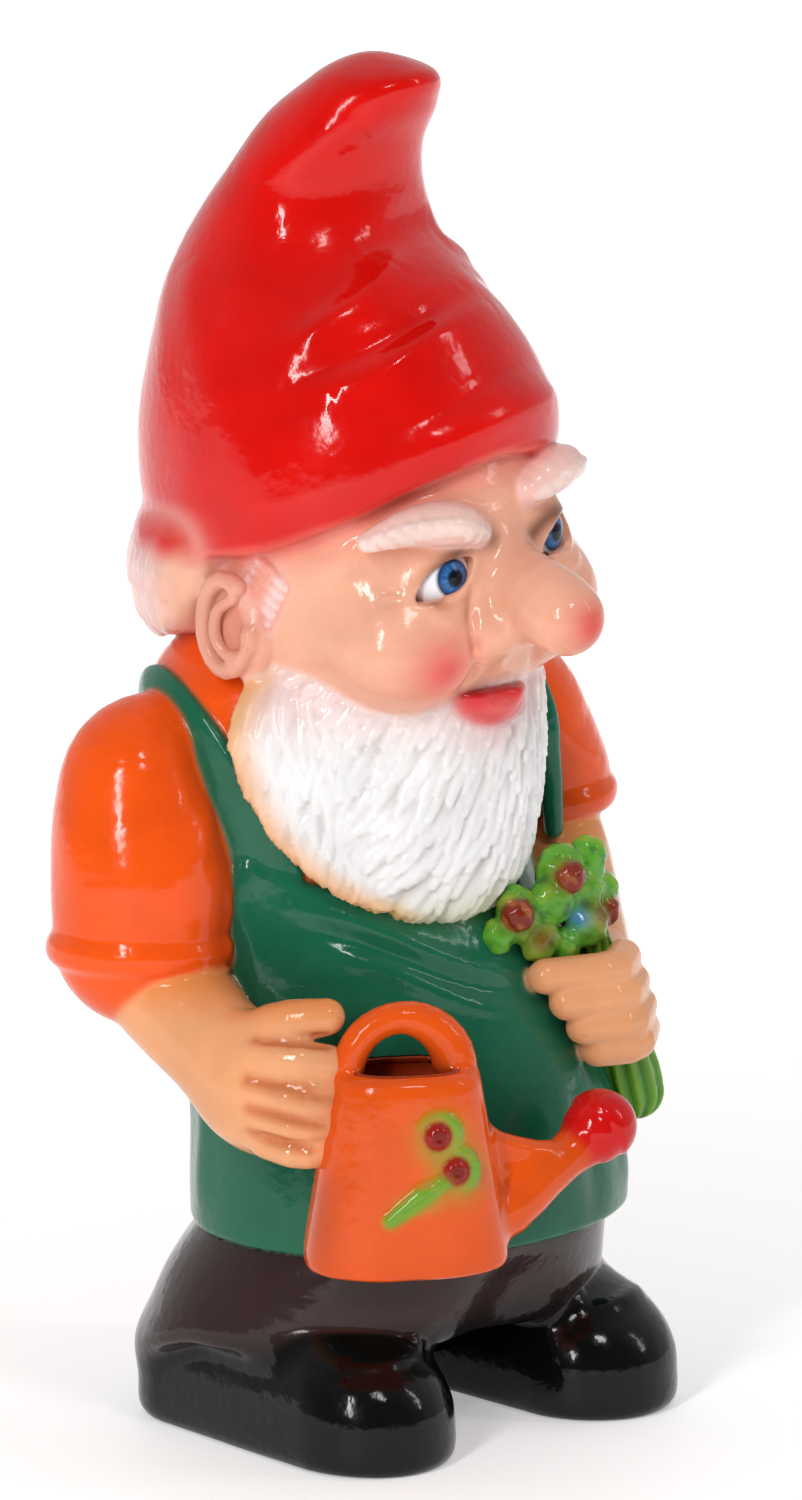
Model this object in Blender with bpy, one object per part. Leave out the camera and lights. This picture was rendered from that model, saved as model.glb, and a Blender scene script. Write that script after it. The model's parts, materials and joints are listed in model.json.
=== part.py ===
"""Garden gnome with a watering can and a posy, as an assembly of hollow cast shells.

The figure stands on z = 0 and faces -Y, so its own left side is +X. Sizes and places are in
millimetres, and become metres when a mesh is made. Pieces that overlap in the design are trimmed by
slightly larger copies of their neighbours, so that every pair keeps a narrow seam.
"""

import math
from math import cos, pi, radians, sin

import bmesh
import bpy
from mathutils import Matrix, Vector

MM = 0.001
WALL = 3.0
GAP = 0.35
CLOTH = 2.6
HEM = 54.0
BODY_SIDES = 32
HEAD_SIDES = 32
CAN_SIDES = 24

# The move that centres the finished figure on the origin.
TO_CENTRE = Vector((2.6628, -0.0384, 0.0))

# Shirt and belly: height, centre x, centre y, half-width, half-depth.
BODY = [
    (44, 2, 0, 55, 46.5),
    (62, 2, 0, 55.5, 47),
    (80, 1, 2, 53, 45.5),
    (100, -1, 6, 50.5, 43.5),
    (120, -4, 10, 49, 41),
    (140, -6, 15, 48, 38.5),
    (160, -6, 18, 50, 37),
    (178, -6, 20, 51, 37),
    (190, -6, 22, 49, 36),
    (200, -6, 22, 40, 30),
    (208, -6, 21, 30, 24),
]

# The filler hole in the trousers' floor, and the plug in it.
FILLER = Vector((0.0, 20.0, 0.0))
FILLER_RADIUS = 13.0
TROUSER_FLOOR = 12.0

# Trousers: height, centre x, centre y, half-width, half-depth, depth of the cleft between the legs.
TROUSERS = [
    (10, -2, 12, 61, 47, 12),
    (20, -2, 12, 63.5, 50, 10),
    (30, -1, 9, 62.5, 49, 7),
    (40, 0, 6, 60, 48, 4),
    (50, 1, 2, 55.5, 46.5, 1),
    (54, 2, 0, 53, 44.5, 0),
]

# Head: height, forward shift, half-width, half-depth. It is turned a little to its own left.
HEAD_CENTRE = Vector((-3.0, 9.0, 0.0))
HEAD_TURN = radians(4.0)
HEAD = [
    (184, 1, 29, 30),
    (190, 2, 37, 38),
    (200, 2, 43.5, 45),
    (212, 1, 45.5, 48),
    (225, 0, 45.5, 49),
    (240, 0, 44, 46.5),
    (255, -1, 42, 43),
    (266, -2, 37, 38),
]

# Hat: share of the height, forward shift, sideways shift, half-width, half-depth front, half-depth back.
HAT = [
    (0.00, 0, 3, 48, 48.5, 57.6),
    (0.10, 0, 3, 49, 48.8, 61.0),
    (0.25, -2, 4, 47.5, 43.0, 58.5),
    (0.40, -6, 5, 42.5, 34.7, 50.5),
    (0.52, -12, 5, 36, 26.3, 41.0),
    (0.64, -14, 4, 30, 23.4, 31.5),
    (0.76, -10, 4, 25.5, 21.2, 24.0),
    (0.87, -3, 3, 21.5, 20.5, 20.0),
    (0.95, 2, 2, 15.5, 17.0, 13.0),
    (1.00, 3, 2, 5, 5, 5),
]
HAT_TOP = 347.0
HAT_WALL = 2.4

# Middles of a boot's round toe and heel, for the left foot, and how the outline shrinks with height.
BOOT_TOE = Vector((38.0, -28.0))
BOOT_HEEL = Vector((36.0, 28.0))
BOOT = [
    (0, 0.90, 0.96),
    (2.5, 0.98, 1.0),
    (8, 1.0, 1.0),
    (16, 0.97, 0.98),
    (24, 0.85, 0.87),
    (31, 0.62, 0.64),
    (35, 0.3, 0.34),
]

CAN_CENTRE = Vector((-43.0, -48.5, 0.0))
CAN_LONG = Vector((0.852, -0.523, 0.0))
CAN_OUT = Vector((-0.523, -0.852, 0.0))
# Watering can: height, half-length, half-depth.
CAN = [
    (54, 23, 15),
    (55.5, 24.8, 16.5),
    (60, 25, 16.8),
    (80, 22, 15.5),
    (99, 19, 14),
    (103, 18, 13.2),
    (105, 16, 11.5),
]


# ---------------------------------------------------------------- curves and meshes


def between(stations, at):
    """Values at a position, on a smooth curve through stations of (position, value, ...)."""
    last = len(stations) - 1
    i = 0
    while i < last - 1 and at > stations[i + 1][0]:
        i += 1
    low, high = stations[i], stations[i + 1]
    before, after = stations[max(i - 1, 0)], stations[min(i + 2, last)]
    span = high[0] - low[0]
    t = min(max((at - low[0]) / span, 0.0), 1.0)
    values = []
    for k in range(1, len(low)):
        leave = (high[k] - before[k]) / (high[0] - before[0]) * span
        arrive = (after[k] - low[k]) / (after[0] - low[0]) * span
        values.append(
            (2 * t**3 - 3 * t**2 + 1) * low[k]
            + (t**3 - 2 * t**2 + t) * leave
            + (3 * t**2 - 2 * t**3) * high[k]
            + (t**3 - t**2) * arrive
        )
    return values


def material(name, colour, roughness=0.2):
    made = bpy.data.materials.new(name)
    made.use_nodes = True
    shader = made.node_tree.nodes["Principled BSDF"]
    shader.inputs["Base Color"].default_value = (*colour, 1.0)
    shader.inputs["Roughness"].default_value = roughness
    shader.inputs["Metallic"].default_value = 0.0
    return made


def add_object(name, bm, paint):
    bmesh.ops.recalc_face_normals(bm, faces=bm.faces)
    mesh = bpy.data.meshes.new(name)
    bm.to_mesh(mesh)
    bm.free()
    mesh.materials.append(paint)
    mesh.shade_smooth()
    mesh.set_sharp_from_angle(angle=radians(50))
    made = bpy.data.objects.new(name, mesh)
    bpy.context.scene.collection.objects.link(made)
    return made


def skin(name, rings, paint, caps=True, loop=False):
    """A skin over rings of points, with flat end caps or with its last ring joined to its first."""
    bm = bmesh.new()
    rows = [[bm.verts.new(Vector(p) * MM) for p in ring] for ring in rings]
    count = len(rings[0])
    for low, high in zip(rows, rows[1:] + (rows[:1] if loop else [])):
        for i in range(count):
            j = (i + 1) % count
            bm.faces.new((low[i], low[j], high[j], high[i]))
    if caps and not loop:
        bm.faces.new(rows[0][::-1])
        bm.faces.new(rows[-1])
    return add_object(name, bm, paint)


def route(points, steps):
    """Points on a smooth curve through the given ones; each may carry further values, such as a radius."""
    stations = [(float(i), *p) for i, p in enumerate(points)]
    last = len(points) - 1
    return [between(stations, last * i / steps) for i in range(steps + 1)]


def tube(name, points, paint, steps=8, sides=14, grow=0.0, flat=1.0, across=(0, 0, 1)):
    """A round-ended tube along points of (x, y, z, radius), thinned by `flat` along the `across` axis."""
    path = route(points, steps)
    spots = [Vector(p[:3]) for p in path]
    rings = []
    for i, spot in enumerate(spots):
        ahead = (spots[min(i + 1, steps)] - spots[max(i - 1, 0)]).normalized()
        side = ahead.cross(Vector(across)).normalized()
        lift = side.cross(ahead)
        radius = path[i][3] + grow
        ends = [(0.0, 1.0)]
        if i == 0:
            ends = [(-0.7, 0.5), (-0.45, 0.85), (0.0, 1.0)]
        if i == steps:
            ends = [(0.0, 1.0), (0.45, 0.85), (0.7, 0.5)]
        for along, wide in ends:
            centre = spot + ahead * radius * along
            turns = [2 * pi * k / sides for k in range(sides)]
            rings.append(
                [
                    centre + (side * cos(a) + lift * sin(a) * flat) * radius * wide
                    for a in turns
                ]
            )
    return skin(name, rings, paint)


def ellipsoid(name, centre, radii, paint, turn=0.0, tilt=0.0, grow=0.0, sides=16):
    """An egg with half-sizes radii, turned about Z and tilted about its own X."""
    bm = bmesh.new()
    size = [(r + grow) * MM for r in radii]
    place = (
        Matrix.Translation(Vector(centre) * MM)
        @ Matrix.Rotation(turn, 4, "Z")
        @ Matrix.Rotation(tilt, 4, "X")
        @ Matrix.Diagonal((*size, 1.0))
    )
    bmesh.ops.create_uvsphere(bm, u_segments=sides, v_segments=sides * 2 // 3, radius=1.0, matrix=place)
    return add_object(name, bm, paint)


def circle(x, y, z, radius, sides=28):
    turns = [2 * pi * i / sides for i in range(sides)]
    return [Vector((x + radius * cos(a), y + radius * sin(a), z)) for a in turns]


def cylinder(name, x, y, radius, low, high, paint):
    return skin(name, [circle(x, y, low, radius), circle(x, y, high, radius)], paint)


def helper(made):
    made.hide_render = True
    made.display_type = "WIRE"
    return made


def combine(made, operation, others):
    """One Boolean step that takes all its helpers together."""
    group = bpy.data.collections.new(f"{operation.lower()}_{made.name}")
    for other in others:
        group.objects.link(helper(other))
    step = made.modifiers.new(operation.lower(), "BOOLEAN")
    step.operation = operation
    step.solver = "EXACT"
    step.operand_type = "COLLECTION"
    step.collection = group
    return made


def trim(made, *cutters):
    return combine(made, "DIFFERENCE", cutters)


def fuse(made, *others):
    return combine(made, "UNION", others)


# ---------------------------------------------------------------- surfaces that pieces share


def body_point(turn, height, grow=0.0):
    """A point on the shirt. The turn is 0 at the front and grows towards the gnome's left."""
    x, y, wide, deep = between(BODY, height)
    return Vector((x + (wide + grow) * sin(turn), y - (deep + grow) * cos(turn), height))


def body_solid(name, low, high, grow, paint):
    heights = [low] + [s[0] for s in BODY if low < s[0] < high] + [high]
    return skin(name, [body_ring(h, grow) for h in heights], paint)


def body_ring(height, grow=0.0):
    return [body_point(2 * pi * i / BODY_SIDES, height, grow) for i in range(BODY_SIDES)]


def trouser_ring(height, grow=0.0):
    x, y, wide, deep, cleft = between(TROUSERS, height)
    ring = []
    for i in range(BODY_SIDES):
        turn = 2 * pi * i / BODY_SIDES
        side = math.atan2(sin(turn), cos(turn))
        dent = cleft * math.exp(-((side / 0.28) ** 2))
        ring.append(
            Vector((x + (wide + grow) * sin(turn), y - (deep + grow - dent) * cos(turn), height))
        )
    return ring


def head_place(forward, right, height):
    """A point given from the head's axis: forward to the face, and to the gnome's right."""
    face = Vector((sin(HEAD_TURN), -cos(HEAD_TURN), 0))
    side = Vector((-cos(HEAD_TURN), -sin(HEAD_TURN), 0))
    return HEAD_CENTRE + face * forward + side * right + Vector((0, 0, height))


def head_ring(height, grow=0.0):
    return [head_side(2 * pi * i / HEAD_SIDES, height, grow) for i in range(HEAD_SIDES)]


def head_side(turn, height, grow=0.0):
    shift, wide, deep = between(HEAD, height)
    return head_place(shift + (deep + grow) * cos(turn), -(wide + grow) * sin(turn), height)


def head_solid(name, low, high, grow, paint):
    heights = [low] + [s[0] for s in HEAD if low < s[0] < high] + [high]
    return skin(name, [head_ring(h, grow) for h in heights], paint)


def rim_height(turn):
    """The hat's edge: high over the forehead, low over the ears and round the back."""
    return 226 + 26 * ((1 + cos(turn)) / 2) ** 3 + 2.5 * sin(turn)


def hat_ring(share, grow=0.0):
    shift, sideways, wide, front, back = between(HAT, share)
    ring = []
    for i in range(HEAD_SIDES):
        turn = 2 * pi * i / HEAD_SIDES
        deep = front if cos(turn) > 0 else back
        low = rim_height(turn)
        height = low + (HAT_TOP - low) * share
        ring.append(
            head_place(
                shift + (deep + grow) * cos(turn), sideways - (wide + grow) * sin(turn), height
            )
        )
    return ring


def can_ring(height, grow=0.0):
    long, deep = between(CAN, height)
    ring = []
    for i in range(CAN_SIDES):
        turn = 2 * pi * i / CAN_SIDES
        along = math.copysign(abs(cos(turn)) ** 0.8, cos(turn)) * (long + grow)
        out = math.copysign(abs(sin(turn)) ** 0.8, sin(turn)) * (deep + grow)
        ring.append(CAN_CENTRE + CAN_LONG * along + CAN_OUT * out + Vector((0, 0, height)))
    return ring


def can_place(along, out, height):
    return CAN_CENTRE + CAN_LONG * along + CAN_OUT * out + Vector((0, 0, height))


# ---------------------------------------------------------------- trunk, trousers and boots


def make_shirt(paint):
    """The trunk: a shell from the hem up to the head, open at both ends."""
    low = HEM + 0.3
    shirt = body_solid("shirt_body", low, 206, 0, paint)
    heights = [low - 2, 62, 80, 100, 120, 140, 160, 178, 190, 200, 210]
    inside = skin("inside_shirt", [body_ring(h, -WALL) for h in heights], paint)
    return trim(shirt, inside, *head_cutters("shirt", paint))


def make_trousers(paint):
    """Both legs in one shell, open under the shirt, with the filler hole in its floor."""
    top = HEM - 0.3
    heights = [TROUSER_FLOOR, 16, 22, 30, 40, top]
    legs = skin("trousers", [trouser_ring(h) for h in heights], paint)
    inside_heights = [TROUSER_FLOOR + WALL, 22, 30, 40, top + 2]
    inside = skin("inside_trousers", [trouser_ring(h, -WALL) for h in inside_heights], paint)
    low, high = TROUSER_FLOOR - 2, TROUSER_FLOOR + 8
    hole = cylinder("filler_hole", FILLER.x, FILLER.y, FILLER_RADIUS, low, high, paint)
    return trim(legs, inside, hole)


def make_plug(paint):
    """The push-in stopper: a flange under the floor, and a hollow barrel in the hole."""
    profile = [
        (16.5, TROUSER_FLOOR - 3.2),
        (17.0, TROUSER_FLOOR - 2.4),
        (17.0, TROUSER_FLOOR - GAP),
        (12.6, TROUSER_FLOOR - GAP),
        (12.6, TROUSER_FLOOR + 6.0),
        (11.4, TROUSER_FLOOR + 8.0),
        (9.4, TROUSER_FLOOR + 8.0),
        (9.4, TROUSER_FLOOR - 0.8),
    ]
    return skin("filler_plug", [circle(FILLER.x, FILLER.y, h, r) for r, h in profile], paint)


def boot_ring(side, height, grow=0.0):
    """The outline of a boot: a stadium from heel to toe, drawn in towards the top of the toe cap."""
    wide, long = between(BOOT, height)
    toe = Vector((side * BOOT_TOE.x, BOOT_TOE.y))
    heel = Vector((side * BOOT_HEEL.x, BOOT_HEEL.y))
    middle = (toe + heel) / 2
    along = (toe - heel).normalized()
    across = Vector((-along.y, along.x))
    half = (toe - heel).length / 2
    ring = []
    for i in range(28):
        turn = 2 * pi * i / 28
        radius = 23.0 if cos(turn) > 0 else 20.5
        forward = half * math.copysign(min(1.0, abs(cos(turn)) * 3), cos(turn)) + radius * cos(turn)
        spot = middle + along * forward * long + across * (22.0 * wide + grow) * sin(turn)
        spot += along * grow * cos(turn)
        ring.append(Vector((spot.x, spot.y, height)))
    return ring


def make_boot(side, name, paint):
    """A hollow boot, open where the trousers sit on it."""
    boot = skin(name, [boot_ring(side, station[0]) for station in BOOT], paint)
    inside_heights = (WALL, 8, 16, 24, 31)
    inside = skin("inside_" + name, [boot_ring(side, h, -WALL) for h in inside_heights], paint)
    leg_heights = (TROUSER_FLOOR - GAP, 16, 22, 30, 40, 50)
    legs = skin("trousers_over_" + name, [trouser_ring(h, GAP) for h in leg_heights], paint)
    plug = cylinder("plug_room_in_" + name, FILLER.x, FILLER.y, 18.0, -1, TROUSER_FLOOR + 1, paint)
    return trim(boot, inside, legs, plug)


# ---------------------------------------------------------------- apron and straps

BIB_TOP = 139.0
BIB_CORNER = 150.0
SKIRT_TOP = 99.0
BIB_SIDE = 84.0


def apron_top(turn):
    """Height of the apron's edge: a bib that rises to its corners, and the waist round the back."""
    side = math.degrees(abs(math.atan2(sin(turn), cos(turn))))
    bib = BIB_TOP + (BIB_CORNER - BIB_TOP) * min(side / 64, 1.0) ** 2 - max(side - 66, 0.0) * 0.4
    rise = min(max((BIB_SIDE + 8 - side) / 8, 0.0), 1.0)
    return SKIRT_TOP + (bib - SKIRT_TOP) * rise


def make_apron(name, paint, grow=0.0):
    """Bib and skirt in one sheet, a cloth's thickness thick, wrapped right round the trunk."""
    low = HEM - 2.0 - grow
    inner, outer = GAP + 0.4 - 4 * grow, CLOTH + 0.8 + grow
    degrees = [*range(0, 360, 10), 64, 84, 92, 268, 276, 296]
    columns = []
    for turn in [radians(d) for d in sorted(degrees)]:
        top = apron_top(turn) + grow
        heights = [low + (top - low) * share for share in (0, 0.06, 0.2, 0.35, 0.5, 0.65, 0.8, 0.93, 1)]
        bulge = [-1.2, -0.2, 0, 0, 0, 0, 0, 0, -0.6]
        outside = [body_point(turn, h, outer + (0 if grow else b)) for h, b in zip(heights, bulge)]
        inside = [body_point(turn, h, inner) for h in heights]
        columns.append(outside + inside[::-1])
    return skin(name, columns, paint, loop=True)


def strap_route(side):
    """Turn and height of a strap's centre line, over the shoulder to the back of the skirt."""
    turns = (64, 67, 73, 84, 100, 118, 136, 147, 153)
    heights = (151.5, 156, 168, 180, 187, 187, 172, 140, 101)
    return [(radians(a) * side, h) for a, h in zip(turns, heights)]


def make_strap(side, name, paint, grow=0.0):
    """A flat webbing strap that lies on the shirt."""
    stops = route(strap_route(side), 20)
    spots = [body_point(a, h, 0.6 - 3 * grow) for a, h in stops]
    lifted = [body_point(a, h, 0.6 + CLOTH + grow) for a, h in stops]
    rings = []
    for i, (spot, top) in enumerate(zip(spots, lifted)):
        ahead = (spots[min(i + 1, 20)] - spots[max(i - 1, 0)]).normalized()
        out = (top - spot).normalized()
        across = ahead.cross(out).normalized() * (4.2 + grow)
        rings.append([spot - across, spot + across, top + across * 0.8, top - across * 0.8])
    return skin(name, rings, paint)


# ---------------------------------------------------------------- arms

RIGHT_SLEEVE = [
    (-38, 26, 176, 9),
    (-53, 27, 176, 12.5),
    (-65, 27, 171.5, 16.5),
    (-67.5, 25, 159, 20),
    (-67, 22.5, 145, 22.8),
    (-67, 22.5, 129, 22.3),
]
LEFT_SLEEVE = [
    (22, 20, 178, 9),
    (36, 22, 180, 15),
    (53, 22, 171, 18.5),
    (59, 23, 160, 20.5),
    (64, 22, 150, 20),
]
RIGHT_CUFF = [(-67.3, 22.5, 129.8, 23.8), (-68, 22, 122, 23.2)]
LEFT_CUFF = [(64.3, 21.8, 148.5, 21.4), (65, 21.5, 141.5, 21)]
RIGHT_FOREARM = [
    (-67.5, 20, 123, 15),
    (-67, 11, 115.5, 14.5),
    (-66, -2, 106.5, 13.5),
    (-64, -12, 100, 13.5),
]
LEFT_FOREARM = [
    (64, 18, 140, 13.5),
    (62.5, 11, 131, 13.5),
    (55, -4, 118, 12.5),
    (46, -18, 110, 12),
]
RIGHT_PALM = ((-62, -19, 97), (14, 17.5, 17))
LEFT_PALM = ((39, -29, 106), (12.5, 11.5, 13.5))
FINGER = 4.8
RIGHT_FINGERS = [
    ((-68, -26, 86, FINGER), (-65, -34, 84.5, FINGER), (-56, -38, 84.5, FINGER)),
    ((-70, -26, 93, FINGER), (-66.5, -35.5, 92, FINGER), (-57, -39, 91.5, FINGER)),
    ((-70, -25, 100, FINGER), (-67, -35, 99.5, FINGER), (-58, -38.5, 98.5, FINGER)),
    ((-69, -22, 107, FINGER), (-66, -32, 107.5, FINGER), (-58, -37, 106, FINGER)),
    ((-66, -14, 109, 6), (-63, -25, 115, 5.4), (-56, -34, 117, 4.6)),
]
LEFT_FINGERS = [
    ((40, -38, 117, FINGER), (30, -43.5, 116.5, FINGER), (13, -38.5, 116.5, FINGER)),
    ((42.5, -38.5, 110.5, FINGER), (32.5, -44.5, 109.5, FINGER), (18, -41, 109.5, FINGER)),
    ((45, -38.5, 104, FINGER), (35, -45, 102.5, FINGER), (23, -42, 102.5, FINGER)),
    ((47, -37.5, 97.5, FINGER), (38, -44, 96, FINGER), (28, -41.5, 96, FINGER)),
]


def make_sleeve(name, stations, paint):
    """A short sleeve: a hollow tube that opens at the cuff."""
    sleeve = tube(name, stations, paint, steps=8, sides=20, across=(0, 1, 0))
    inner = [(x, y, z, r - WALL) for x, y, z, r in stations[1:]]
    x, y, z, r = inner[-1]
    inner.append((x, y, z - 30, r))
    inside = tube("inside_" + name, inner, paint, steps=10, sides=20, across=(0, 1, 0))
    return trim(sleeve, inside)


def make_cuff(name, stations, paint):
    """The rolled end of a sleeve: a fat ring round the forearm."""
    profile = [(0, 0.94), (0.15, 1), (0.6, 1.02), (0.9, 0.98), (1, 0.9), (1, 0.78), (0, 0.84)]
    rings = []
    for share, wide in profile:
        x, y, z, radius = [a + (b - a) * share for a, b in zip(*stations)]
        rings.append(circle(x, y, z, radius * wide))
    return skin(name, rings, paint, loop=True)


def make_forearm(name, stations, paint, grow=0.0):
    return tube(name, stations, paint, steps=5, sides=16, grow=grow, across=(1, 0, 0))


def make_hand(name, forearm, palm, fingers, paint, grow=0.0):
    """Forearm, palm and curled fingers in one piece."""
    arm = make_forearm(name, forearm, paint, grow)
    parts = [ellipsoid(name + "_palm", *palm, paint, grow=grow)]
    for i, points in enumerate(fingers):
        parts.append(tube(f"{name}_finger_{i}", points, paint, steps=4, sides=10, grow=grow))
    return fuse(arm, *parts)


# ---------------------------------------------------------------- head, face and hat

NOSE = [(42, 0, 224, 7.5), (53, 0, 219.5, 8.8), (62, 0, 215, 10.3), (67, 0, 213, 9.6)]
EYES = {"eye_right": (45.0, 20.5, 222.0), "eye_left": (42.5, -20.5, 228.0)}
EYE_SIZE = (7.6, 5.0, 6.0)
BROWS = {
    "eyebrow_right": [(47, 12, 234, 3.2), (47, 20, 236, 4.4), (43, 29, 235.5, 4.0), (36, 37, 233, 2.6)],
    "eyebrow_left": [(47, -9, 243, 3.2), (47, -16, 245, 4.2), (43, -24, 245, 4.0), (36, -31, 242, 2.6)],
}
EARS = {"ear_right": (-2.0, 46.0, 210.0), "ear_left": (-2.0, -46.0, 213.0)}
EAR_SIZE = (6.5, 9.5, 14.0)
MOUTH = [
    (39, 11, 191.5, 2.4),
    (44, 7, 187, 3.8),
    (46, 1, 185, 4.3),
    (45, -5, 186, 3.8),
    (41, -10, 189.5, 2.4),
]


def on_head(points):
    return [(*head_place(p[0], p[1], p[2]), *p[3:]) for p in points]


def make_nose(name, paint, grow=0.0):
    return tube(name, on_head(NOSE), paint, steps=5, sides=16, grow=grow)


def make_cheek(name, side, paint, grow=0.0):
    place = head_place(32.5 - 0.5 * side, 22 * side, 207 - 3.5 * side)
    return ellipsoid(name, place, (18.5, 17, 16), paint, turn=HEAD_TURN, grow=grow)


def make_ear(name, paint, grow=0.0, suffix=""):
    place, lean = head_place(*EARS[name]), radians(-12)
    return ellipsoid(name + suffix, place, EAR_SIZE, paint, turn=HEAD_TURN, tilt=lean, grow=grow)


def make_eye(name, paint, grow=0.0, suffix=""):
    return ellipsoid(name + suffix, head_place(*EYES[name]), EYE_SIZE, paint, turn=HEAD_TURN, grow=grow)


def make_head(paint):
    """The head shell with nose, cheeks and a seat for each eye, open at the neck and crown."""
    head = head_solid("head", 184, 262, 0, paint)
    cheeks = [make_cheek("right_cheek", 1, paint), make_cheek("left_cheek", -1, paint)]
    fuse(head, make_nose("nose", paint), *cheeks)
    sockets = [make_eye(name, paint, GAP, "_socket") for name in EYES]
    return trim(head, head_solid("inside_head", 182, 264, -WALL, paint), *sockets)


def head_cutters(label, paint, grow=GAP):
    """The head as a cutter: its solid, nose and cheeks, each a seam's width larger."""
    return [
        head_solid("head_for_" + label, 180, 262 + grow, grow, paint),
        make_nose("nose_for_" + label, paint, grow),
        make_cheek("right_cheek_for_" + label, 1, paint, grow),
        make_cheek("left_cheek_for_" + label, -1, paint, grow),
    ]


def make_brow(name, paint):
    return tube(name, on_head(BROWS[name]), paint, steps=6, sides=12, flat=0.8)


def make_mouth(name, paint, grow=0.0):
    return tube(name, on_head(MOUTH), paint, steps=8, sides=12, grow=grow)


def hat_solid(name, shares, grow, drop, paint):
    """The hat's outline as a solid whose lowest ring is dropped a little."""
    rings = [hat_ring(share, grow) for share in shares]
    rings[0] = [p - Vector((0, 0, drop)) for p in rings[0]]
    return skin(name, rings, paint)


def make_hat(name, paint):
    shares = (0, 0.05, 0.12, 0.2, 0.3, 0.4, 0.5, 0.6, 0.7, 0.8, 0.88, 0.95, 1.0)
    hat = hat_solid(name, shares, 0, 0, paint)
    shares = (0, 0.05, 0.12, 0.2, 0.3, 0.4, 0.5, 0.6, 0.7, 0.8, 0.88, 0.94)
    inside = hat_solid("inside_hat", shares, -HAT_WALL, 6, paint)
    return trim(hat, inside, *head_cutters("hat", paint))


def make_hair(name, paint):
    """Hair round the back of the head, from one temple to the other, under the hat."""
    columns = []
    for turn in [radians(d) for d in range(62, 299, 8)]:
        side = abs(math.atan2(sin(turn), cos(turn)))
        back = (1 - cos(turn)) / 2
        low = 213 - 20 * back**2 + 9 * math.exp(-(((side - 1.65) / 0.2) ** 2))
        thick = 5.0 + 10.0 * back**1.5
        column = []
        for share in (0, 0.2, 0.4, 0.6, 0.8, 1):
            height = low + (232 - low) * share
            bulge = thick * math.sqrt(max(1 - (share * 1.2 - 0.45) ** 2 * 1.25, 0.05))
            column.append(head_side(turn, height, bulge))
        inner = [head_side(turn, height, -1) for height in (232, low)]
        columns.append(column + inner)
    return skin(name, columns, paint)


BEARD = [
    (131.5, -7, -18, 8, 8),
    (135, -7, -18, 17, 13),
    (143, -6.5, -17, 26, 18),
    (156, -6, -14, 32, 22),
    (170, -5, -10, 36, 25),
    (184, -4, -4, 38, 30),
    (194, -4, 0, 39, 33),
    (202, -4, 4, 38, 34),
]


def make_beard(name, paint, grow=0.0):
    rings = []
    for height in (131.5 - grow, 135, 141, 149, 158, 168, 178, 188, 198):
        x, y, wide, deep = between(BEARD, height)
        turns = [2 * pi * i / 28 for i in range(28)]
        rings.append(
            [Vector((x + (wide + grow) * sin(a), y - (deep + grow) * cos(a), height)) for a in turns]
        )
    return skin(name, rings, paint)


# ---------------------------------------------------------------- watering can and posy


def make_can_body(name, paint, grow=0.0):
    heights = [54, 55.5, 60, 70, 80, 90, 99, 103, 105]
    if grow:
        heights = [54 - grow, *heights[1:-1], 105 + grow]
    return skin(name, [can_ring(h, grow) for h in heights], paint)


def make_can_handle(name, paint, grow=0.0):
    """The carrying arch over the can's mouth."""
    stops = []
    for degrees in range(0, 181, 20):
        a = radians(degrees)
        place = can_place(-0.5 + 14.4 * cos(a), 0, 103 + 14.0 * sin(a))
        stops.append((*place, 4.2))
    return tube(name, stops, paint, steps=12, sides=12, grow=grow, across=tuple(CAN_OUT))


def make_spout(name, paint, grow=0.0):
    stops = [
        (*can_place(15, 0, 64), 7.6),
        (*can_place(26, -4, 67), 7.4),
        (*can_place(36, -9, 73), 6.2),
        (*can_place(46, -14, 78.5), 5.4),
    ]
    return tube(name, stops, paint, steps=6, sides=14, grow=grow)


def make_brace(name, paint):
    stops = [(*can_place(17, -1, 87), 3.4), (*can_place(26, -4, 82.5), 3.0), (*can_place(35, -8, 79), 2.8)]
    return tube(name, stops, paint, steps=4, sides=10)


def ring_on(centre, side, lift, radius, count):
    turns = [2 * pi * i / count for i in range(count)]
    return [centre + (side * cos(a) + lift * sin(a)) * radius for a in turns]


def make_rose(name, paint):
    """The sprinkler head: a cone that widens to a domed face."""
    start, end = can_place(49.2, -15.6, 80.2), can_place(57, -19.5, 84.5)
    axis = (end - start).normalized()
    side = axis.cross(Vector((0, 0, 1))).normalized()
    lift = side.cross(axis)
    profile = [(0, 5.2), (0.25, 6.4), (0.6, 8.4), (0.85, 9.6), (0.97, 9.4), (1.1, 7.0), (1.16, 3.0)]
    rings = [ring_on(start.lerp(end, share), side, lift, radius, 20) for share, radius in profile]
    return skin(name, rings, paint)


CAN_BLOOMS = {"can_bloom_upper": (5.5, 90.5), "can_bloom_lower": (10.0, 81.5)}


def make_can_bloom(name, paint):
    along, height = CAN_BLOOMS[name]
    return ellipsoid(name, can_place(along, 13.6, height), (3.6, 3.0, 3.6), paint, sides=12)


def make_can_leaf(name, paint):
    """A leaf in relief under the blooms."""
    places = ((12, 14, 74.5, 3.0), (4, 15.2, 72, 3.6), (-6, 15.6, 68.5, 2.6))
    stops = [(*can_place(along, out, height), radius) for along, out, height, radius in places]
    return tube(name, stops, paint, steps=5, sides=10)


POSY_HEAD = ((30, -30, 133), (9.5, 8.5, 12.5))
POSY_SIDE = ((10.5, -31, 128.5), (8, 6.5, 9))
POSY_NECK = Vector((34, -32, 122))
POSY_FOOT = Vector((52.5, -30, 76))
BLOOMS = {
    "posy_bloom_upper": (23, -36.5, 140),
    "posy_bloom_front": (6, -36, 133),
    "posy_bloom_side": (38, -33, 128.5),
}


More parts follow.
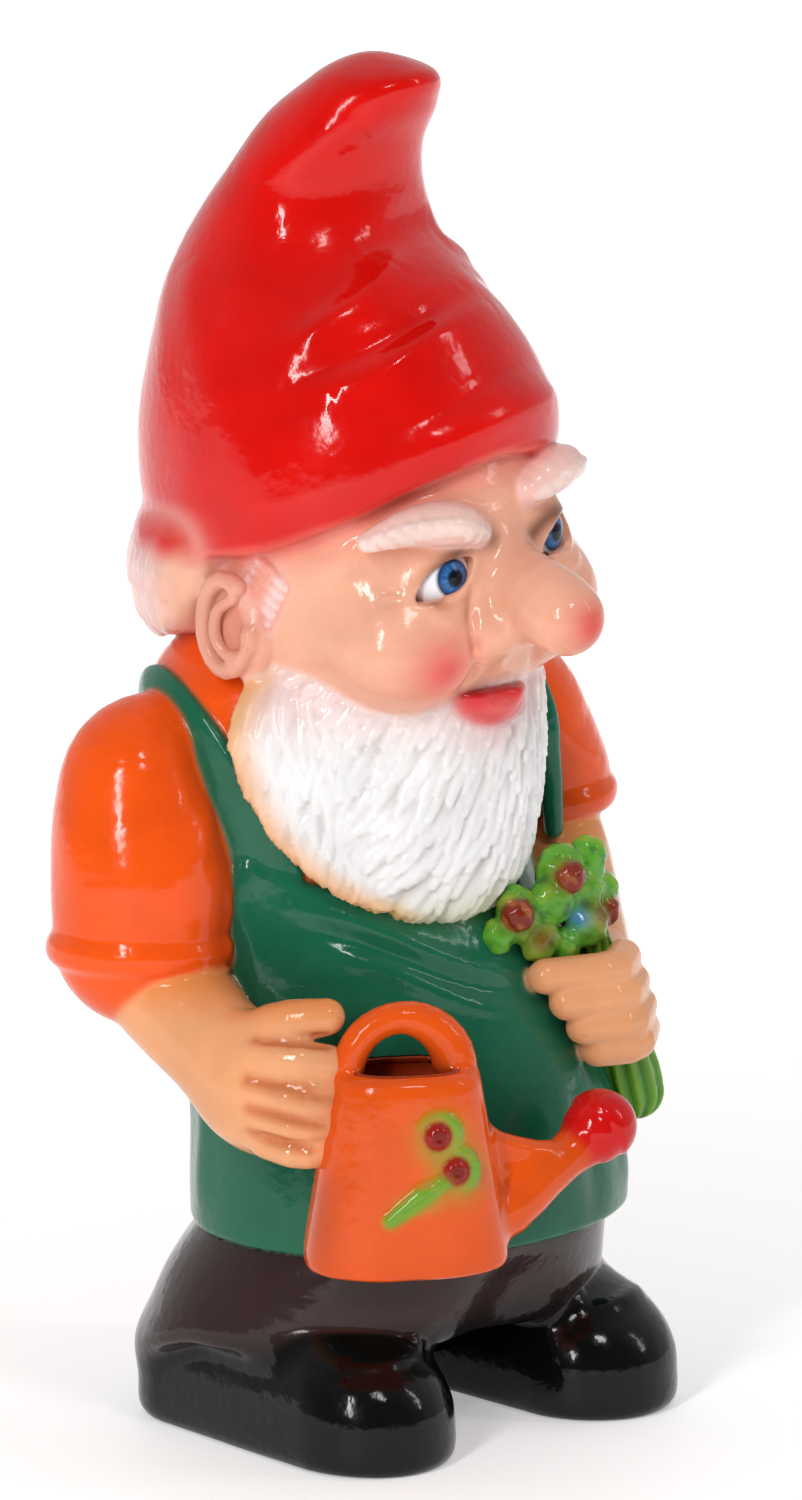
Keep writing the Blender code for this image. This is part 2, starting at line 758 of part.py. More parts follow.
def make_posy_leaves(name, paint, grow=0.0):
    """Two tufts of leaves above the fist, joined low down."""
    head = ellipsoid(name, *POSY_HEAD, paint, grow=grow)
    side = ellipsoid("side_tuft_of_" + name, *POSY_SIDE, paint, sides=12, grow=grow)
    joint = ellipsoid("tuft_joint_of_" + name, (20, -31, 127), (10, 6, 5.5), paint, sides=12, grow=grow)
    return fuse(head, side, joint)


def make_posy_bloom(name, paint, grow=0.0):
    return ellipsoid(name, BLOOMS[name], (4.4, 3.8, 4.2), paint, sides=12, grow=grow)


def make_posy_stems(name, paint, grow=0.0):
    """The bundle of stems: a fluted bar that widens towards its cut end."""
    start = POSY_NECK
    rings = []
    axis = (POSY_FOOT - start).normalized()
    side = axis.cross(Vector((0, 1, 0))).normalized()
    lift = side.cross(axis)
    for share, radius in ((0, 4.6), (0.3, 5.0), (0.6, 6.6), (0.8, 7.6), (0.97, 7.8), (1.0, 7.2)):
        centre = start + (POSY_FOOT - start) * share
        ring = []
        for i in range(20):
            turn = 2 * pi * i / 20
            flute = 0.0 if grow else 0.55 * (i % 2)
            ring.append(centre + (side * cos(turn) + lift * sin(turn) * 0.85) * (radius + grow - flute))
        rings.append(ring)
    return skin(name, rings, paint)


# ---------------------------------------------------------------- assembly


def body_cutters(label, paint, over_apron=True):
    """The trunk, and the apron on it, as cutters a seam's width larger."""
    found = [body_solid("trunk_for_" + label, 46, 207, GAP, paint)]
    if over_apron:
        found.append(make_apron("apron_for_" + label, paint, grow=GAP))
    return found


def arm_cutters(label, paint):
    """What an arm keeps clear of: the trunk, and all round it below the bib's corners, the apron."""
    return [
        body_solid("trunk_for_" + label, 46, 207, GAP, paint),
        body_solid("waist_for_" + label, 46, 152, CLOTH + 0.8 + 2.5 * GAP, paint),
    ]


def strap_cutters(label, paint, grow=GAP):
    return [make_strap(s, f"strap{s}_for_{label}", paint, grow=grow) for s in (1, -1)]


def make_paints():
    return {
        "orange": material("shirt_orange", (0.86, 0.10, 0.008)),
        "green": material("apron_green", (0.010, 0.105, 0.055)),
        "brown": material("trouser_brown", (0.035, 0.018, 0.014)),
        "black": material("boot_black", (0.004, 0.004, 0.004)),
        "flesh": material("skin_flesh", (0.78, 0.36, 0.20)),
        "white": material("beard_white", (0.82, 0.80, 0.76)),
        "red": material("hat_red", (0.62, 0.006, 0.004)),
        "blue": material("eye_blue", (0.02, 0.10, 0.32)),
        "lip": material("lip_red", (0.66, 0.015, 0.02)),
        "can": material("can_orange", (0.80, 0.10, 0.010)),
        "leaf": material("leaf_green", (0.10, 0.34, 0.02)),
        "maroon": material("bloom_maroon", (0.16, 0.012, 0.006)),
        "grey": material("plug_grey", (0.10, 0.10, 0.10), 0.45),
    }


def assemble_trunk(paint):
    make_shirt(paint["orange"])
    make_trousers(paint["brown"])
    make_plug(paint["grey"])
    make_boot(1, "boot_left", paint["black"])
    make_boot(-1, "boot_right", paint["black"])
    green = paint["green"]
    make_apron("apron", green)
    for side, name in ((1, "strap_left"), (-1, "strap_right")):
        trim(make_strap(side, name, green), *body_cutters(name, green))


def assemble_arm(side, sleeve, cuff, forearm, paint):
    """Sleeve and cuff of one arm. The sleeve ends just above the cuff."""
    orange = paint["orange"]
    name = "sleeve_" + side
    low = cuff[0][2] + GAP
    below = cylinder("below_" + name, cuff[0][0], cuff[0][1], 40, low - 40, low, orange)
    made = make_sleeve(name, sleeve, orange)
    trim(made, below, *arm_cutters(name, orange), *strap_cutters(name, orange, 2.0))
    name = "cuff_" + side
    arm = make_forearm("arm_in_" + name, forearm, orange, GAP)
    trim(make_cuff(name, cuff, orange), *arm_cutters(name, orange), arm)


def assemble_hands(paint):
    flesh = paint["flesh"]
    made = make_hand("hand_right", RIGHT_FOREARM, RIGHT_PALM, RIGHT_FINGERS, flesh)
    can = make_can_body("can_for_hand", flesh, GAP)
    handle = make_can_handle("handle_for_hand", flesh, GAP)
    trim(made, *arm_cutters("hand_right", flesh), can, handle)
    made = make_hand("hand_left", LEFT_FOREARM, LEFT_PALM, LEFT_FINGERS, flesh)
    stems = make_posy_stems("stems_for_hand", flesh, GAP)
    trim(made, *arm_cutters("hand_left", flesh), stems)


def assemble_head(paint):
    flesh, white = paint["flesh"], paint["white"]
    make_head(flesh)
    make_hat("hat", paint["red"])
    for name in EARS:
        trim(make_ear(name, flesh), *head_cutters(name, flesh))
    for name in EYES:
        make_eye(name, paint["blue"])
    for name in BROWS:
        trim(make_brow(name, white), *head_cutters(name, white))
    trim(make_mouth("mouth", paint["lip"]), *head_cutters("mouth", white))
    trim(
        make_hair("hair", white),
        hat_solid("hat_for_hair", (0, 0.05, 0.12, 0.2), 2 * GAP, 2 * GAP, white),
        *head_cutters("hair", white),
        *[make_ear(n, white, GAP, "_for_hair") for n in EARS],
        *body_cutters("hair", white, over_apron=False),
    )
    trim(
        make_beard("beard", white),
        *head_cutters("beard", white),
        make_mouth("mouth_for_beard", white, GAP),
        *body_cutters("beard", white),
        *strap_cutters("beard", white),
    )


def assemble_can(paint):
    orange = paint["can"]
    trim(make_can_body("can_body", orange), *body_cutters("can", orange))
    for name, made in (
        ("handle", make_can_handle("can_handle", orange)),
        ("spout", make_spout("can_spout", orange)),
    ):
        trim(made, make_can_body("can_for_" + name, orange, GAP), *body_cutters(name, orange))
    trim(
        make_brace("can_spout_brace", orange),
        make_can_body("can_for_brace", orange, GAP),
        make_spout("spout_for_brace", orange, GAP),
        *body_cutters("brace", orange),
    )
    spout = make_spout("spout_for_rose", orange, GAP)
    trim(make_rose("can_rose", paint["red"]), spout, *body_cutters("rose", orange))
    for name in CAN_BLOOMS:
        trim(make_can_bloom(name, paint["maroon"]), make_can_body("can_for_" + name, orange, GAP))
    trim(make_can_leaf("can_leaf", paint["leaf"]), make_can_body("can_for_leaf", orange, GAP))


def assemble_posy(paint):
    leaf, maroon = paint["leaf"], paint["maroon"]
    trim(make_posy_stems("posy_stems", leaf), *body_cutters("stems", leaf))
    trim(
        make_posy_leaves("posy_leaves", leaf),
        make_posy_stems("stems_for_leaves", leaf, GAP),
        make_hand("hand_for_leaves", LEFT_FOREARM, LEFT_PALM, LEFT_FINGERS, leaf, GAP),
        make_beard("beard_for_leaves", leaf, GAP),
        *body_cutters("leaves", leaf),
    )
    for name in BLOOMS:
        trim(
            make_posy_bloom(name, maroon),
            make_posy_leaves("leaves_for_" + name, maroon, GAP),
            make_beard("beard_for_" + name, maroon, GAP),
            make_hand("hand_for_" + name, LEFT_FOREARM, LEFT_PALM, LEFT_FINGERS, maroon, GAP),
        )


def main():
    for old in list(bpy.data.objects):
        bpy.data.objects.remove(old)
    paint = make_paints()
    assemble_trunk(paint)
    assemble_arm("right", RIGHT_SLEEVE, RIGHT_CUFF, RIGHT_FOREARM, paint)
    assemble_arm("left", LEFT_SLEEVE, LEFT_CUFF, LEFT_FOREARM, paint)
    assemble_hands(paint)
    assemble_head(paint)
    assemble_can(paint)
    assemble_posy(paint)
    for piece in bpy.data.objects:
        piece.location = TO_CENTRE * MM


main()
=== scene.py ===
"""Garden gnome: a glossy painted figure cast in plastic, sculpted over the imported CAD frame.

The shapes are distance fields, in millimetres in the frame that the part was designed in. Each group of
fields is sampled near its surface, meshed, and split by paint label into the pieces that stand for the
CAD nodes. Each of those is a closed shell, and the eyeballs and the plug are turned shapes. Colours are
laid on like an airbrush, with soft borders.
"""

import json
from collections import namedtuple
from functools import partial
from math import cos, pi, radians, sin

import bpy
import numpy as np
import openvdb
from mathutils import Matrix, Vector


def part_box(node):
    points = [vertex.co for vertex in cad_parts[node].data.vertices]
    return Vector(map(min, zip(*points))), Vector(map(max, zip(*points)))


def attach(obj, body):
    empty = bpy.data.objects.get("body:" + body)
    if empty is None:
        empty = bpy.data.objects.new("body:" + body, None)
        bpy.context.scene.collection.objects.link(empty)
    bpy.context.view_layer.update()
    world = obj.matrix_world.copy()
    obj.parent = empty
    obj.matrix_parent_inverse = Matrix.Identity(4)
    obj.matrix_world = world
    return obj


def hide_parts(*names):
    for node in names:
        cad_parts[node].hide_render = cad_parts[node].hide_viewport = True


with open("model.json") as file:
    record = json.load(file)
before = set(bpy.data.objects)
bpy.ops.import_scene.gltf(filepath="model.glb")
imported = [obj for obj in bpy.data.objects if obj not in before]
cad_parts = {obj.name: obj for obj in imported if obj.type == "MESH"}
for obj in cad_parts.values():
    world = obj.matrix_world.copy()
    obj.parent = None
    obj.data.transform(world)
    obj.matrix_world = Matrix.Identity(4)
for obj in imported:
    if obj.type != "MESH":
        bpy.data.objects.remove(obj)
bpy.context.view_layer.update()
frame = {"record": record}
FINE = 1.0

TO_MM, TO_METRES = 1000.0, 0.001
FILLER = (0.0, 20.0)
# The design frame's origin in the row frame, in millimetres: the filler plug is centred on FILLER.
PLUG_LOW, PLUG_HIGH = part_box("filler_plug")
SHIFT = np.array(
    [
        (PLUG_LOW.x + PLUG_HIGH.x) / 2 * TO_MM - FILLER[0],
        (PLUG_LOW.y + PLUG_HIGH.y) / 2 * TO_MM - FILLER[1],
        0.0,
    ]
)
HAT_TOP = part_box("hat")[1].z * TO_MM

# ---------------------------------------------------------------- stations, as in the part

# Rings of the trunk as (height, x, y, half width, half depth).
BODY = [
    (44, 2, 0, 55, 46.5), (62, 2, 0, 55.5, 47), (80, 1, 2, 53, 45.5), (100, -1, 6, 50.5, 43.5),
    (120, -4, 10, 49, 41), (140, -6, 15, 48, 38.5), (160, -6, 18, 50, 37), (178, -6, 20, 51, 37),
    (190, -6, 22, 49, 36), (200, -6, 22, 40, 30), (208, -6, 21, 30, 24),
]
# The same, with the depth of the cleft between the legs.
TROUSERS = [
    (10, -2, 12, 61, 47, 12), (20, -2, 12, 63.5, 50, 10), (30, -1, 9, 62.5, 49, 7),
    (40, 0, 6, 60, 48, 4), (50, 1, 2, 55.5, 46.5, 1), (56, 2, 0, 52, 44, 0),
]
# The head's axis, and its turn towards the gnome's left.
HEAD_CENTRE = (-3.0, 9.0)
HEAD_TURN = radians(4.0)
# Rings of the head as (height, shift forward, half width, half depth).
HEAD = [
    (184, 1, 29, 30), (190, 2, 37, 38), (200, 2, 43.5, 45), (212, 1, 45.5, 48),
    (225, 0, 45.5, 49), (240, 0, 44, 46.5), (255, -1, 42, 43), (266, -2, 37, 38),
]
# Rings of the hat as (share of its height, forward, right, half width, depth in front, depth behind).
HAT = [
    (0.00, 0, 3, 48, 48.5, 57.6), (0.10, 0, 3, 49, 48.8, 61.0), (0.25, -2, 4, 47.5, 43.0, 58.5),
    (0.40, -6, 5, 42.5, 34.7, 50.5), (0.52, -12, 5, 36, 26.3, 41.0), (0.64, -14, 4, 30, 23.4, 31.5),
    (0.76, -10, 4, 25.5, 21.2, 24.0), (0.87, -3, 3, 21.5, 20.5, 20.0), (0.95, 2, 2, 15.5, 17.0, 13.0),
    (1.00, 3, 2, 5, 5, 5),
]
# Rings of the beard, as the trunk's.
BEARD = [
    (131.5, -7, -18, 8, 8), (135, -7, -18, 17, 13), (143, -6.5, -17, 26, 18), (156, -6, -14, 32, 22),
    (170, -5, -10, 36, 25), (184, -4, -4, 38, 30), (194, -4, 0, 39, 33), (202, -4, 4, 38, 34),
]
# A boot's outline as (height, share of its width, share of its length).
BOOT = [
    (0, 0.92, 0.97), (2.5, 0.98, 1.0), (8, 1.0, 1.0), (16, 0.97, 0.98), (24, 0.85, 0.87),
    (31, 0.62, 0.64), (35, 0.3, 0.34), (37, 0.1, 0.12),
]
# The can's middle, its long and outward directions, and its rings as (height, half length, half depth).
CAN_CENTRE = np.array([-43.0, -48.5, 0.0])
CAN_LONG = np.array([0.852, -0.523, 0.0])
CAN_OUT = np.array([-0.523, -0.852, 0.0])
CAN = [
    (54, 23, 15), (55.5, 24.8, 16.5), (60, 25, 16.8), (80, 22, 15.5), (99, 19, 14), (103, 18, 13.2),
    (105, 16, 11.5),
]
# How far the apron stands off the trunk, and the height of its hem.
CLOTH = 3.4
HEM = 52.0


def between(stations, at):
    """Values at a position, on a smooth curve through stations of (position, value, ...)."""
    last = len(stations) - 1
    i = 0
    while i < last - 1 and at > stations[i + 1][0]:
        i += 1
    low, high = stations[i], stations[i + 1]
    before, after = stations[max(i - 1, 0)], stations[min(i + 2, last)]
    span = high[0] - low[0]
    t = min(max((at - low[0]) / span, 0.0), 1.0)
    values = []
    for k in range(1, len(low)):
        leave = (high[k] - before[k]) / (high[0] - before[0]) * span
        arrive = (after[k] - low[k]) / (after[0] - low[0]) * span
        values.append(
            (2 * t**3 - 3 * t**2 + 1) * low[k]
            + (t**3 - 2 * t**2 + t) * leave
            + (3 * t**2 - 2 * t**3) * high[k]
            + (t**3 - t**2) * arrive
        )
    return values


def table(stations, count=160):
    at = np.linspace(stations[0][0], stations[-1][0], count)
    return at, np.array([between(stations, a) for a in at]).T


def look_up(curve, at):
    return [np.interp(at, curve[0], row).astype(np.float32) for row in curve[1]]


def route(points, steps):
    stations = [(float(i), *p) for i, p in enumerate(points)]
    last = len(points) - 1
    return [between(stations, last * i / steps) for i in range(steps + 1)]


# ---------------------------------------------------------------- field maths


def smooth_min(a, b, k):
    h = np.maximum(k - np.abs(a - b), 0) / k
    return np.minimum(a, b) - h * h * k * 0.25


def smooth_max(a, b, k):
    return -smooth_min(-a, -b, k)


def step(low, high, x):
    t = np.clip((x - low) / (high - low), 0, 1)
    return t * t * (3 - 2 * t)


def ellipse(u, v, wide, deep):
    """Nearly the distance to an ellipse, for offsets u and v from its middle."""
    p, q = u / wide, v / deep
    k0 = np.sqrt(p * p + q * q) + 1e-6
    k1 = np.sqrt((p / wide) ** 2 + (q / deep) ** 2) + 1e-6
    return k0 * (k0 - 1) / k1


def to_head(x, y):
    """(forward, right) of a point, from the head's axis."""
    dx, dy = x - HEAD_CENTRE[0], y - HEAD_CENTRE[1]
    return dx * sin(HEAD_TURN) - dy * cos(HEAD_TURN), -dx * cos(HEAD_TURN) - dy * sin(HEAD_TURN)


def head_place(forward, right, height):
    return (
        HEAD_CENTRE[0] + forward * sin(HEAD_TURN) - right * cos(HEAD_TURN),
        HEAD_CENTRE[1] - forward * cos(HEAD_TURN) - right * sin(HEAD_TURN),
        height,
    )


def can_place(along, out, height):
    return tuple(CAN_CENTRE + CAN_LONG * along + CAN_OUT * out + np.array([0, 0, height]))


def ball(centre, radii, turn=0.0, tilt=0.0):
    """(field, low corner, high corner) of an egg turned about Z, then tilted about its own X."""
    cx, cy, cz = centre
    a, b, c = radii

    def field(x, y, z):
        dx, dy, dz = x - cx, y - cy, z - cz
        u = dx * cos(turn) + dy * sin(turn)
        v = -dx * sin(turn) + dy * cos(turn)
        v, w = v * cos(tilt) + dz * sin(tilt), -v * sin(tilt) + dz * cos(tilt)
        k0 = np.sqrt((u / a) ** 2 + (v / b) ** 2 + (w / c) ** 2) + 1e-6
        k1 = np.sqrt((u / a**2) ** 2 + (v / b**2) ** 2 + (w / c**2) ** 2) + 1e-6
        return k0 * (k0 - 1) / k1

    reach = max(radii)
    return field, np.array(centre) - reach, np.array(centre) + reach


def tube(points, steps=8):
    """A round-ended tube through points of (x, y, z, radius)."""
    path = np.array(route(points, steps), np.float32)

    def field(x, y, z):
        best = None
        for (ax, ay, az, ar), (bx, by, bz, br) in zip(path, path[1:]):
            dx, dy, dz = bx - ax, by - ay, bz - az
            length = dx * dx + dy * dy + dz * dz
            t = np.clip(((x - ax) * dx + (y - ay) * dy + (z - az) * dz) / length, 0, 1)
            away = np.sqrt((x - ax - t * dx) ** 2 + (y - ay - t * dy) ** 2 + (z - az - t * dz) ** 2)
            away = away - (ar + t * (br - ar))
            best = away if best is None else np.minimum(best, away)
        return best

    reach = path[:, 3:]
    return field, (path[:, :3] - reach).min(0), (path[:, :3] + reach).max(0)


def band(start, end, radius_low, radius_high, edge):
    """A short round drum between two points, with rounded edges."""
    a, b = np.array(start, float), np.array(end, float)
    axis = b - a
    length = float(np.linalg.norm(axis))
    axis = axis / length

    def field(x, y, z):
        along = (x - a[0]) * axis[0] + (y - a[1]) * axis[1] + (z - a[2]) * axis[2]
        px, py, pz = x - a[0] - along * axis[0], y - a[1] - along * axis[1], z - a[2] - along * axis[2]
        share = np.clip(along / length, 0, 1)
        out = np.sqrt(px * px + py * py + pz * pz) - (radius_low + (radius_high - radius_low) * share)
        end_gap = np.abs(along - length / 2) - length / 2
        return smooth_max(out, end_gap, edge)

    reach = max(radius_low, radius_high)
    return field, np.minimum(a, b) - reach, np.maximum(a, b) + reach


# ---------------------------------------------------------------- fields of the figure

BODY_CURVE, TROUSER_CURVE, HEAD_CURVE = table(BODY), table(TROUSERS), table(HEAD)
HAT_CURVE, BEARD_CURVE, BOOT_CURVE, CAN_CURVE = table(HAT), table(BEARD), table(BOOT), table(CAN)


def body_turn(x, y, z):
    cx, cy, wide, deep = look_up(BODY_CURVE, z)
    return np.arctan2((x - cx) / wide, -(y - cy) / deep)


def body_point(turn, height, grow=0.0):
    x, y, wide, deep = between(BODY, height)
    return np.array([x + (wide + grow) * sin(turn), y - (deep + grow) * cos(turn), height])


def trunk_side(x, y, z):
    cx, cy, wide, deep = look_up(BODY_CURVE, z)
    return ellipse(x - cx, y - cy, wide, deep)


def trunk(x, y, z):
    return smooth_max(smooth_max(trunk_side(x, y, z), z - 205, 8), 58 - z, 2)


def apron_top(turn):
    side = np.degrees(np.abs(turn))
    bib = 139 + 11 * np.minimum(side / 64, 1) ** 2 - np.maximum(side - 66, 0) * 0.4
    rise = np.clip((92 - side) / 8, 0, 1)
    return 99 + (bib - 99) * rise


def apron(x, y, z):
    turn = body_turn(x, y, z)
    side = trunk_side(x, y, z) - CLOTH
    return smooth_max(smooth_max(side, z - apron_top(turn), 2.4), HEM - z, 2.0)


# The left strap's run in front of the shoulder, as (x, y, z, radius).
FAR_STRAP = [
    (53, 2, 141, 2.6), (51.2, 1.0, 152, 3.0), (50.4, 1.4, 162, 3.2), (50, 2.2, 171, 3.2), (48.5, 5, 179, 3.4),
    (46, 11, 186, 3.6),
]
# Where each strap runs over the trunk, as (turn in degrees, height, radius).
STRAP = [
    (60, 146, 9.5), (63, 156, 7.6), (69, 168, 6.8), (80, 180, 6.4), (97, 187.5, 6.2), (118, 187, 5.8),
    (136, 172, 5.2), (147, 140, 5.0), (153, 97, 5.0),
]


def strap(side):
    line = [(*body_point(radians(turn) * side, height, 1.0), size) for turn, height, size in STRAP]
    near, low, high = tube(route(line, 26), 26)
    front, low_2, high_2 = tube(FAR_STRAP, 12)

    def field(x, y, z):
        f = smooth_max(trunk_side(x, y, z) - 2.7, near(x, y, z), 1.6)
        return smooth_min(f, front(x, y, z), 2) if side > 0 else f

    if side > 0:
        low, high = np.minimum(low, low_2), np.maximum(high, high_2)
    return field, low, high


def trousers(x, y, z):
    cx, cy, wide, deep, cleft = look_up(TROUSER_CURVE, z)
    turn = np.arctan2((x - cx) / wide, -(y - cy) / deep)
    dent = cleft * np.exp(-((turn / 0.28) ** 2))
    side = ellipse(x - cx, y - cy, wide, deep - dent)
    return smooth_max(side, 12 + 13 * step(2.3, 1.5, np.abs(turn)) - z, 6)


def boot(side):
    toe, heel = np.array([side * 38.0, -28.0]), np.array([side * 36.0, 28.0])
    middle, half = (toe + heel) / 2, float(np.linalg.norm(toe - heel)) / 2
    along = (toe - heel) / (2 * half)

    def field(x, y, z):
        wide, long = look_up(BOOT_CURVE, z)
        a = (x - middle[0]) * along[0] + (y - middle[1]) * along[1]
        b = -(x - middle[0]) * along[1] + (y - middle[1]) * along[0]
        past = np.maximum(np.abs(a) - half * long, 0)
        radius = np.where(a > 0, 23.0, 20.5) * long
        q = np.sqrt((past / radius) ** 2 + (b / (22 * wide)) ** 2)
        return smooth_max(smooth_max((q - 1) * 22 * np.maximum(wide, 0.4), z - 36, 4), -z, 0.8)

    return field, np.array([side * 37 - 25, -52, 0]), np.array([side * 37 + 25, 50, 37])


def head_side(x, y, z):
    forward, right = to_head(x, y)
    shift, wide, deep = look_up(HEAD_CURVE, z)
    return ellipse(right, forward - shift, wide, deep)


def skull(x, y, z):
    return smooth_max(smooth_max(head_side(x, y, z), z - 268, 6), 186 - z, 6)


def rim_height(turn):
    return 226 + 26 * ((1 + np.cos(turn)) / 2) ** 3 + 2.5 * np.sin(turn)


def hat_round(x, y, z):
    """(turn, share of the height, height of the edge) of a point, seen from the hat's own rings."""
    forward, right = to_head(x, y)
    turn = np.arctan2(-right, forward)
    for _ in range(3):
        low = rim_height(turn)
        share = np.clip((z - low) / (HAT_TOP - low), 0, 1)
        shift, sideways, wide, front, back = look_up(HAT_CURVE, share)
        deep = np.where(forward > shift, front, back)
        turn = np.arctan2((sideways - right) / wide, (forward - shift) / deep)
    return turn, share, low


def hat(x, y, z):
    forward, right = to_head(x, y)
    _, share, low = hat_round(x, y, z)
    shift, sideways, wide, front, back = look_up(HAT_CURVE, share)
    side = ellipse(sideways - right, forward - shift, wide, np.where(forward > shift, front, back))
    return smooth_max(smooth_max(side, z - HAT_TOP + 0.3, 5), low - 1 - z, 3.0)


def beard(x, y, z):
    cx, cy, wide, deep = look_up(BEARD_CURVE, z)
    side = ellipse(x - cx, y - cy, wide, deep)
    return smooth_max(smooth_max(side, 131.8 - z, 5), z - 200, 6)


def beard_edge(z):
    """How far round the chest the beard reaches on the gnome's right, in degrees."""
    return np.interp(z, (136, 143, 150, 158, 167, 179, 191, 200), (22, 38, 48, 56, 61, 65, 61, 56))


def beard_side(x, y, z):
    turn = np.degrees(body_turn(x, y, z))
    cover = trunk_side(x, y, z) - 5.5 - 2.5 * step(60, 30, -turn)
    cover = smooth_max(cover, (-turn - beard_edge(z)) * 0.95, 6)
    return smooth_max(smooth_max(cover, turn * 0.9, 6), np.maximum(z - 200, 136 - z), 5)


def mouth(x, y, z):
    """A smile with a straight upper edge: the lower half of an egg, in the parting of the beard."""
    forward, right = to_head(x, y)
    top = 191.6 + 0.06 * right
    k0 = np.sqrt(((forward - 36) / 11.8) ** 2 + ((right - 1.0) / 15.0) ** 2 + ((z - top) / 12.2) ** 2)
    return smooth_max((k0 - 1) * 9.0, z - top, 1.6)


def hair(x, y, z):
    forward, right = to_head(x, y)
    turn = np.arctan2(-right, forward)
    back = (1 - np.cos(turn)) / 2
    side = np.abs(turn)
    low = 213 - 20 * back**2 + 9 * np.exp(-(((side - 1.65) / 0.2) ** 2))
    thick = 5 + 10 * back**1.5
    share = np.clip((z - low) / (236 - low), -0.3, 1.2)
    bulge = thick * np.sqrt(np.clip(1 - (share * 1.2 - 0.45) ** 2 * 1.25, 0.02, 1))
    f = head_side(x, y, z) - bulge
    f = smooth_max(f, low - z, 4)
    return smooth_max(smooth_max(f, z - 238, 3), (1.72 - side) * 40, 12)


def can_side(x, y, z):
    long, deep = look_up(CAN_CURVE, z)
    a = np.abs((x - CAN_CENTRE[0]) * CAN_LONG[0] + (y - CAN_CENTRE[1]) * CAN_LONG[1])
    b = np.abs((x - CAN_CENTRE[0]) * CAN_OUT[0] + (y - CAN_CENTRE[1]) * CAN_OUT[1])
    power = 2.5
    q = ((a / long) ** power + (b / deep) ** power + 1e-9) ** (1 / power)
    return (q - 1) * (deep + (long - deep) * a / (a + b + 1e-6))


def can_body(x, y, z):
    return smooth_max(smooth_max(can_side(x, y, z), z - 105, 2.5), 54 - z, 2.0)


def can_mouth(x, y, z):
    """The sunk top of the can, inside its rim."""
    return smooth_max(can_side(x, y, z) + 3.4, 100.0 - z, 1.2)


# Limbs and features as (x, y, z, radius), or without the radius where FINGER serves for all.
RIGHT_SLEEVE = [
    (-38, 26, 176, 9), (-53, 27, 176, 12.5), (-65, 27, 171.5, 16.5), (-67.5, 25, 159, 20),
    (-67, 22.5, 145, 22.8), (-67, 22.5, 129, 22.3),
]
LEFT_SLEEVE = [
    (22, 20, 178, 9), (36, 22, 180, 15), (53, 22, 171, 18.5), (59, 23, 160, 20.5), (64, 22, 150, 20),
]
RIGHT_FOREARM = [(-67.5, 20, 123, 15), (-67, 11, 115.5, 14.5), (-66, -2, 106.5, 13.5), (-64, -12, 100, 13.5)]
LEFT_FOREARM = [(64, 18, 140, 13.5), (62.5, 11, 131, 13.5), (55, -4, 118, 12.5), (46, -18, 110, 12)]
RIGHT_FINGERS = [
    [(-68, -26, 86), (-65, -34, 84.5), (-56, -38, 84.5)],
    [(-70, -26, 93), (-66.5, -35.5, 92), (-57, -39, 91.5)],
    [(-70, -25, 100), (-67, -35, 99.5), (-58, -38.5, 98.5)],
    [(-69, -22, 107), (-66, -32, 107.5), (-58, -37, 106)],
]
RIGHT_THUMB = [(-66, -14, 109, 6), (-63, -25, 115, 5.4), (-56, -34, 117, 4.6)]
LEFT_FINGERS = [
    [(40, -38, 117), (30, -43.5, 116.5), (13, -38.5, 116.5)],
    [(42.5, -38.5, 110.5), (32.5, -44.5, 109.5), (18, -41, 109.5)],
    [(45, -38.5, 104), (35, -45, 102.5), (23, -42, 102.5)],
    [(47, -37.5, 97.5), (38, -44, 96), (28, -41.5, 96)],
]
FINGER = 4.6
# On the head, places are (forward, to the right, height).
NOSE = [(42, 0, 224, 7.5), (53, 0, 219.5, 8.8), (62, 0, 215, 10.3), (67, 0, 213, 9.6)]
BROWS = {
    "eyebrow_right": [
        (47, 11, 233.5, 3.8), (46.5, 19, 236.5, 5.6), (42.5, 29, 236.5, 5.0), (35.5, 38, 233, 2.6),
    ],
    "eyebrow_left": [(47, -8, 241, 3.6), (46.5, -16, 244, 5.4), (43, -25, 244.5, 4.8), (36, -32, 241, 2.6)],
}
EARS = {"ear_right": (0.0, 46.0, 207.5), "ear_left": (0.0, -46.0, 210.5)}
EAR_TILT = radians(-12)
# Each eye's side, height and how far its lids roll down outwards.
EYES = {"eye_right": (1, 222.0, radians(31)), "eye_left": (-1, 228.0, radians(20))}
EYEBALL = 8.8


def eye_middle(name):
    side, height, _ = EYES[name]
    return head_place(38.0, 16.8 * side, height)


def eye_slot(name):
    """The opening between the lids, as a short bar that points out of the face."""
    side, _, roll = EYES[name]
    cx, cy, cz = eye_middle(name)
    a = HEAD_TURN - radians(24) * side
    out = np.array([sin(a), -cos(a)])

    def field(x, y, z):
        along = (x - cx) * out[0] + (y - cy) * out[1]
        across = (x - cx) * out[1] - (y - cy) * out[0]
        u = across * cos(roll) - (z - cz) * sin(roll)
        v = across * sin(roll) + (z - cz) * cos(roll)
        upper = np.sqrt(u**2 + (v + 8.2) ** 2) - 12.6
        lower = np.sqrt(u**2 + (v - 9.6) ** 2) - 13.4
        return smooth_max(smooth_max(upper, lower, 1.2), 3.0 - along, 1.0)

    middle = np.array([cx + out[0] * 8, cy + out[1] * 8, cz])
    return field, middle - 10, middle + 10


def on_head(points):
    return [(*head_place(*p[:3]), *p[3:]) for p in points]


def on_can(points):
    return [(*can_place(*p[:3]), *p[3:]) for p in points]


FLOOR_UNDER = 12.0


def bore(radius, low, high):
    """A round hole about the plug's axis."""

    def field(x, y, z):
        side = np.sqrt((x - FILLER[0]) ** 2 + (y - FILLER[1]) ** 2) - radius
        return smooth_max(side, np.maximum(z - high, low - z), 0.8)

    middle = np.array(FILLER)
    return field, np.array([*(middle - radius), low]), np.array([*(middle + radius), high])


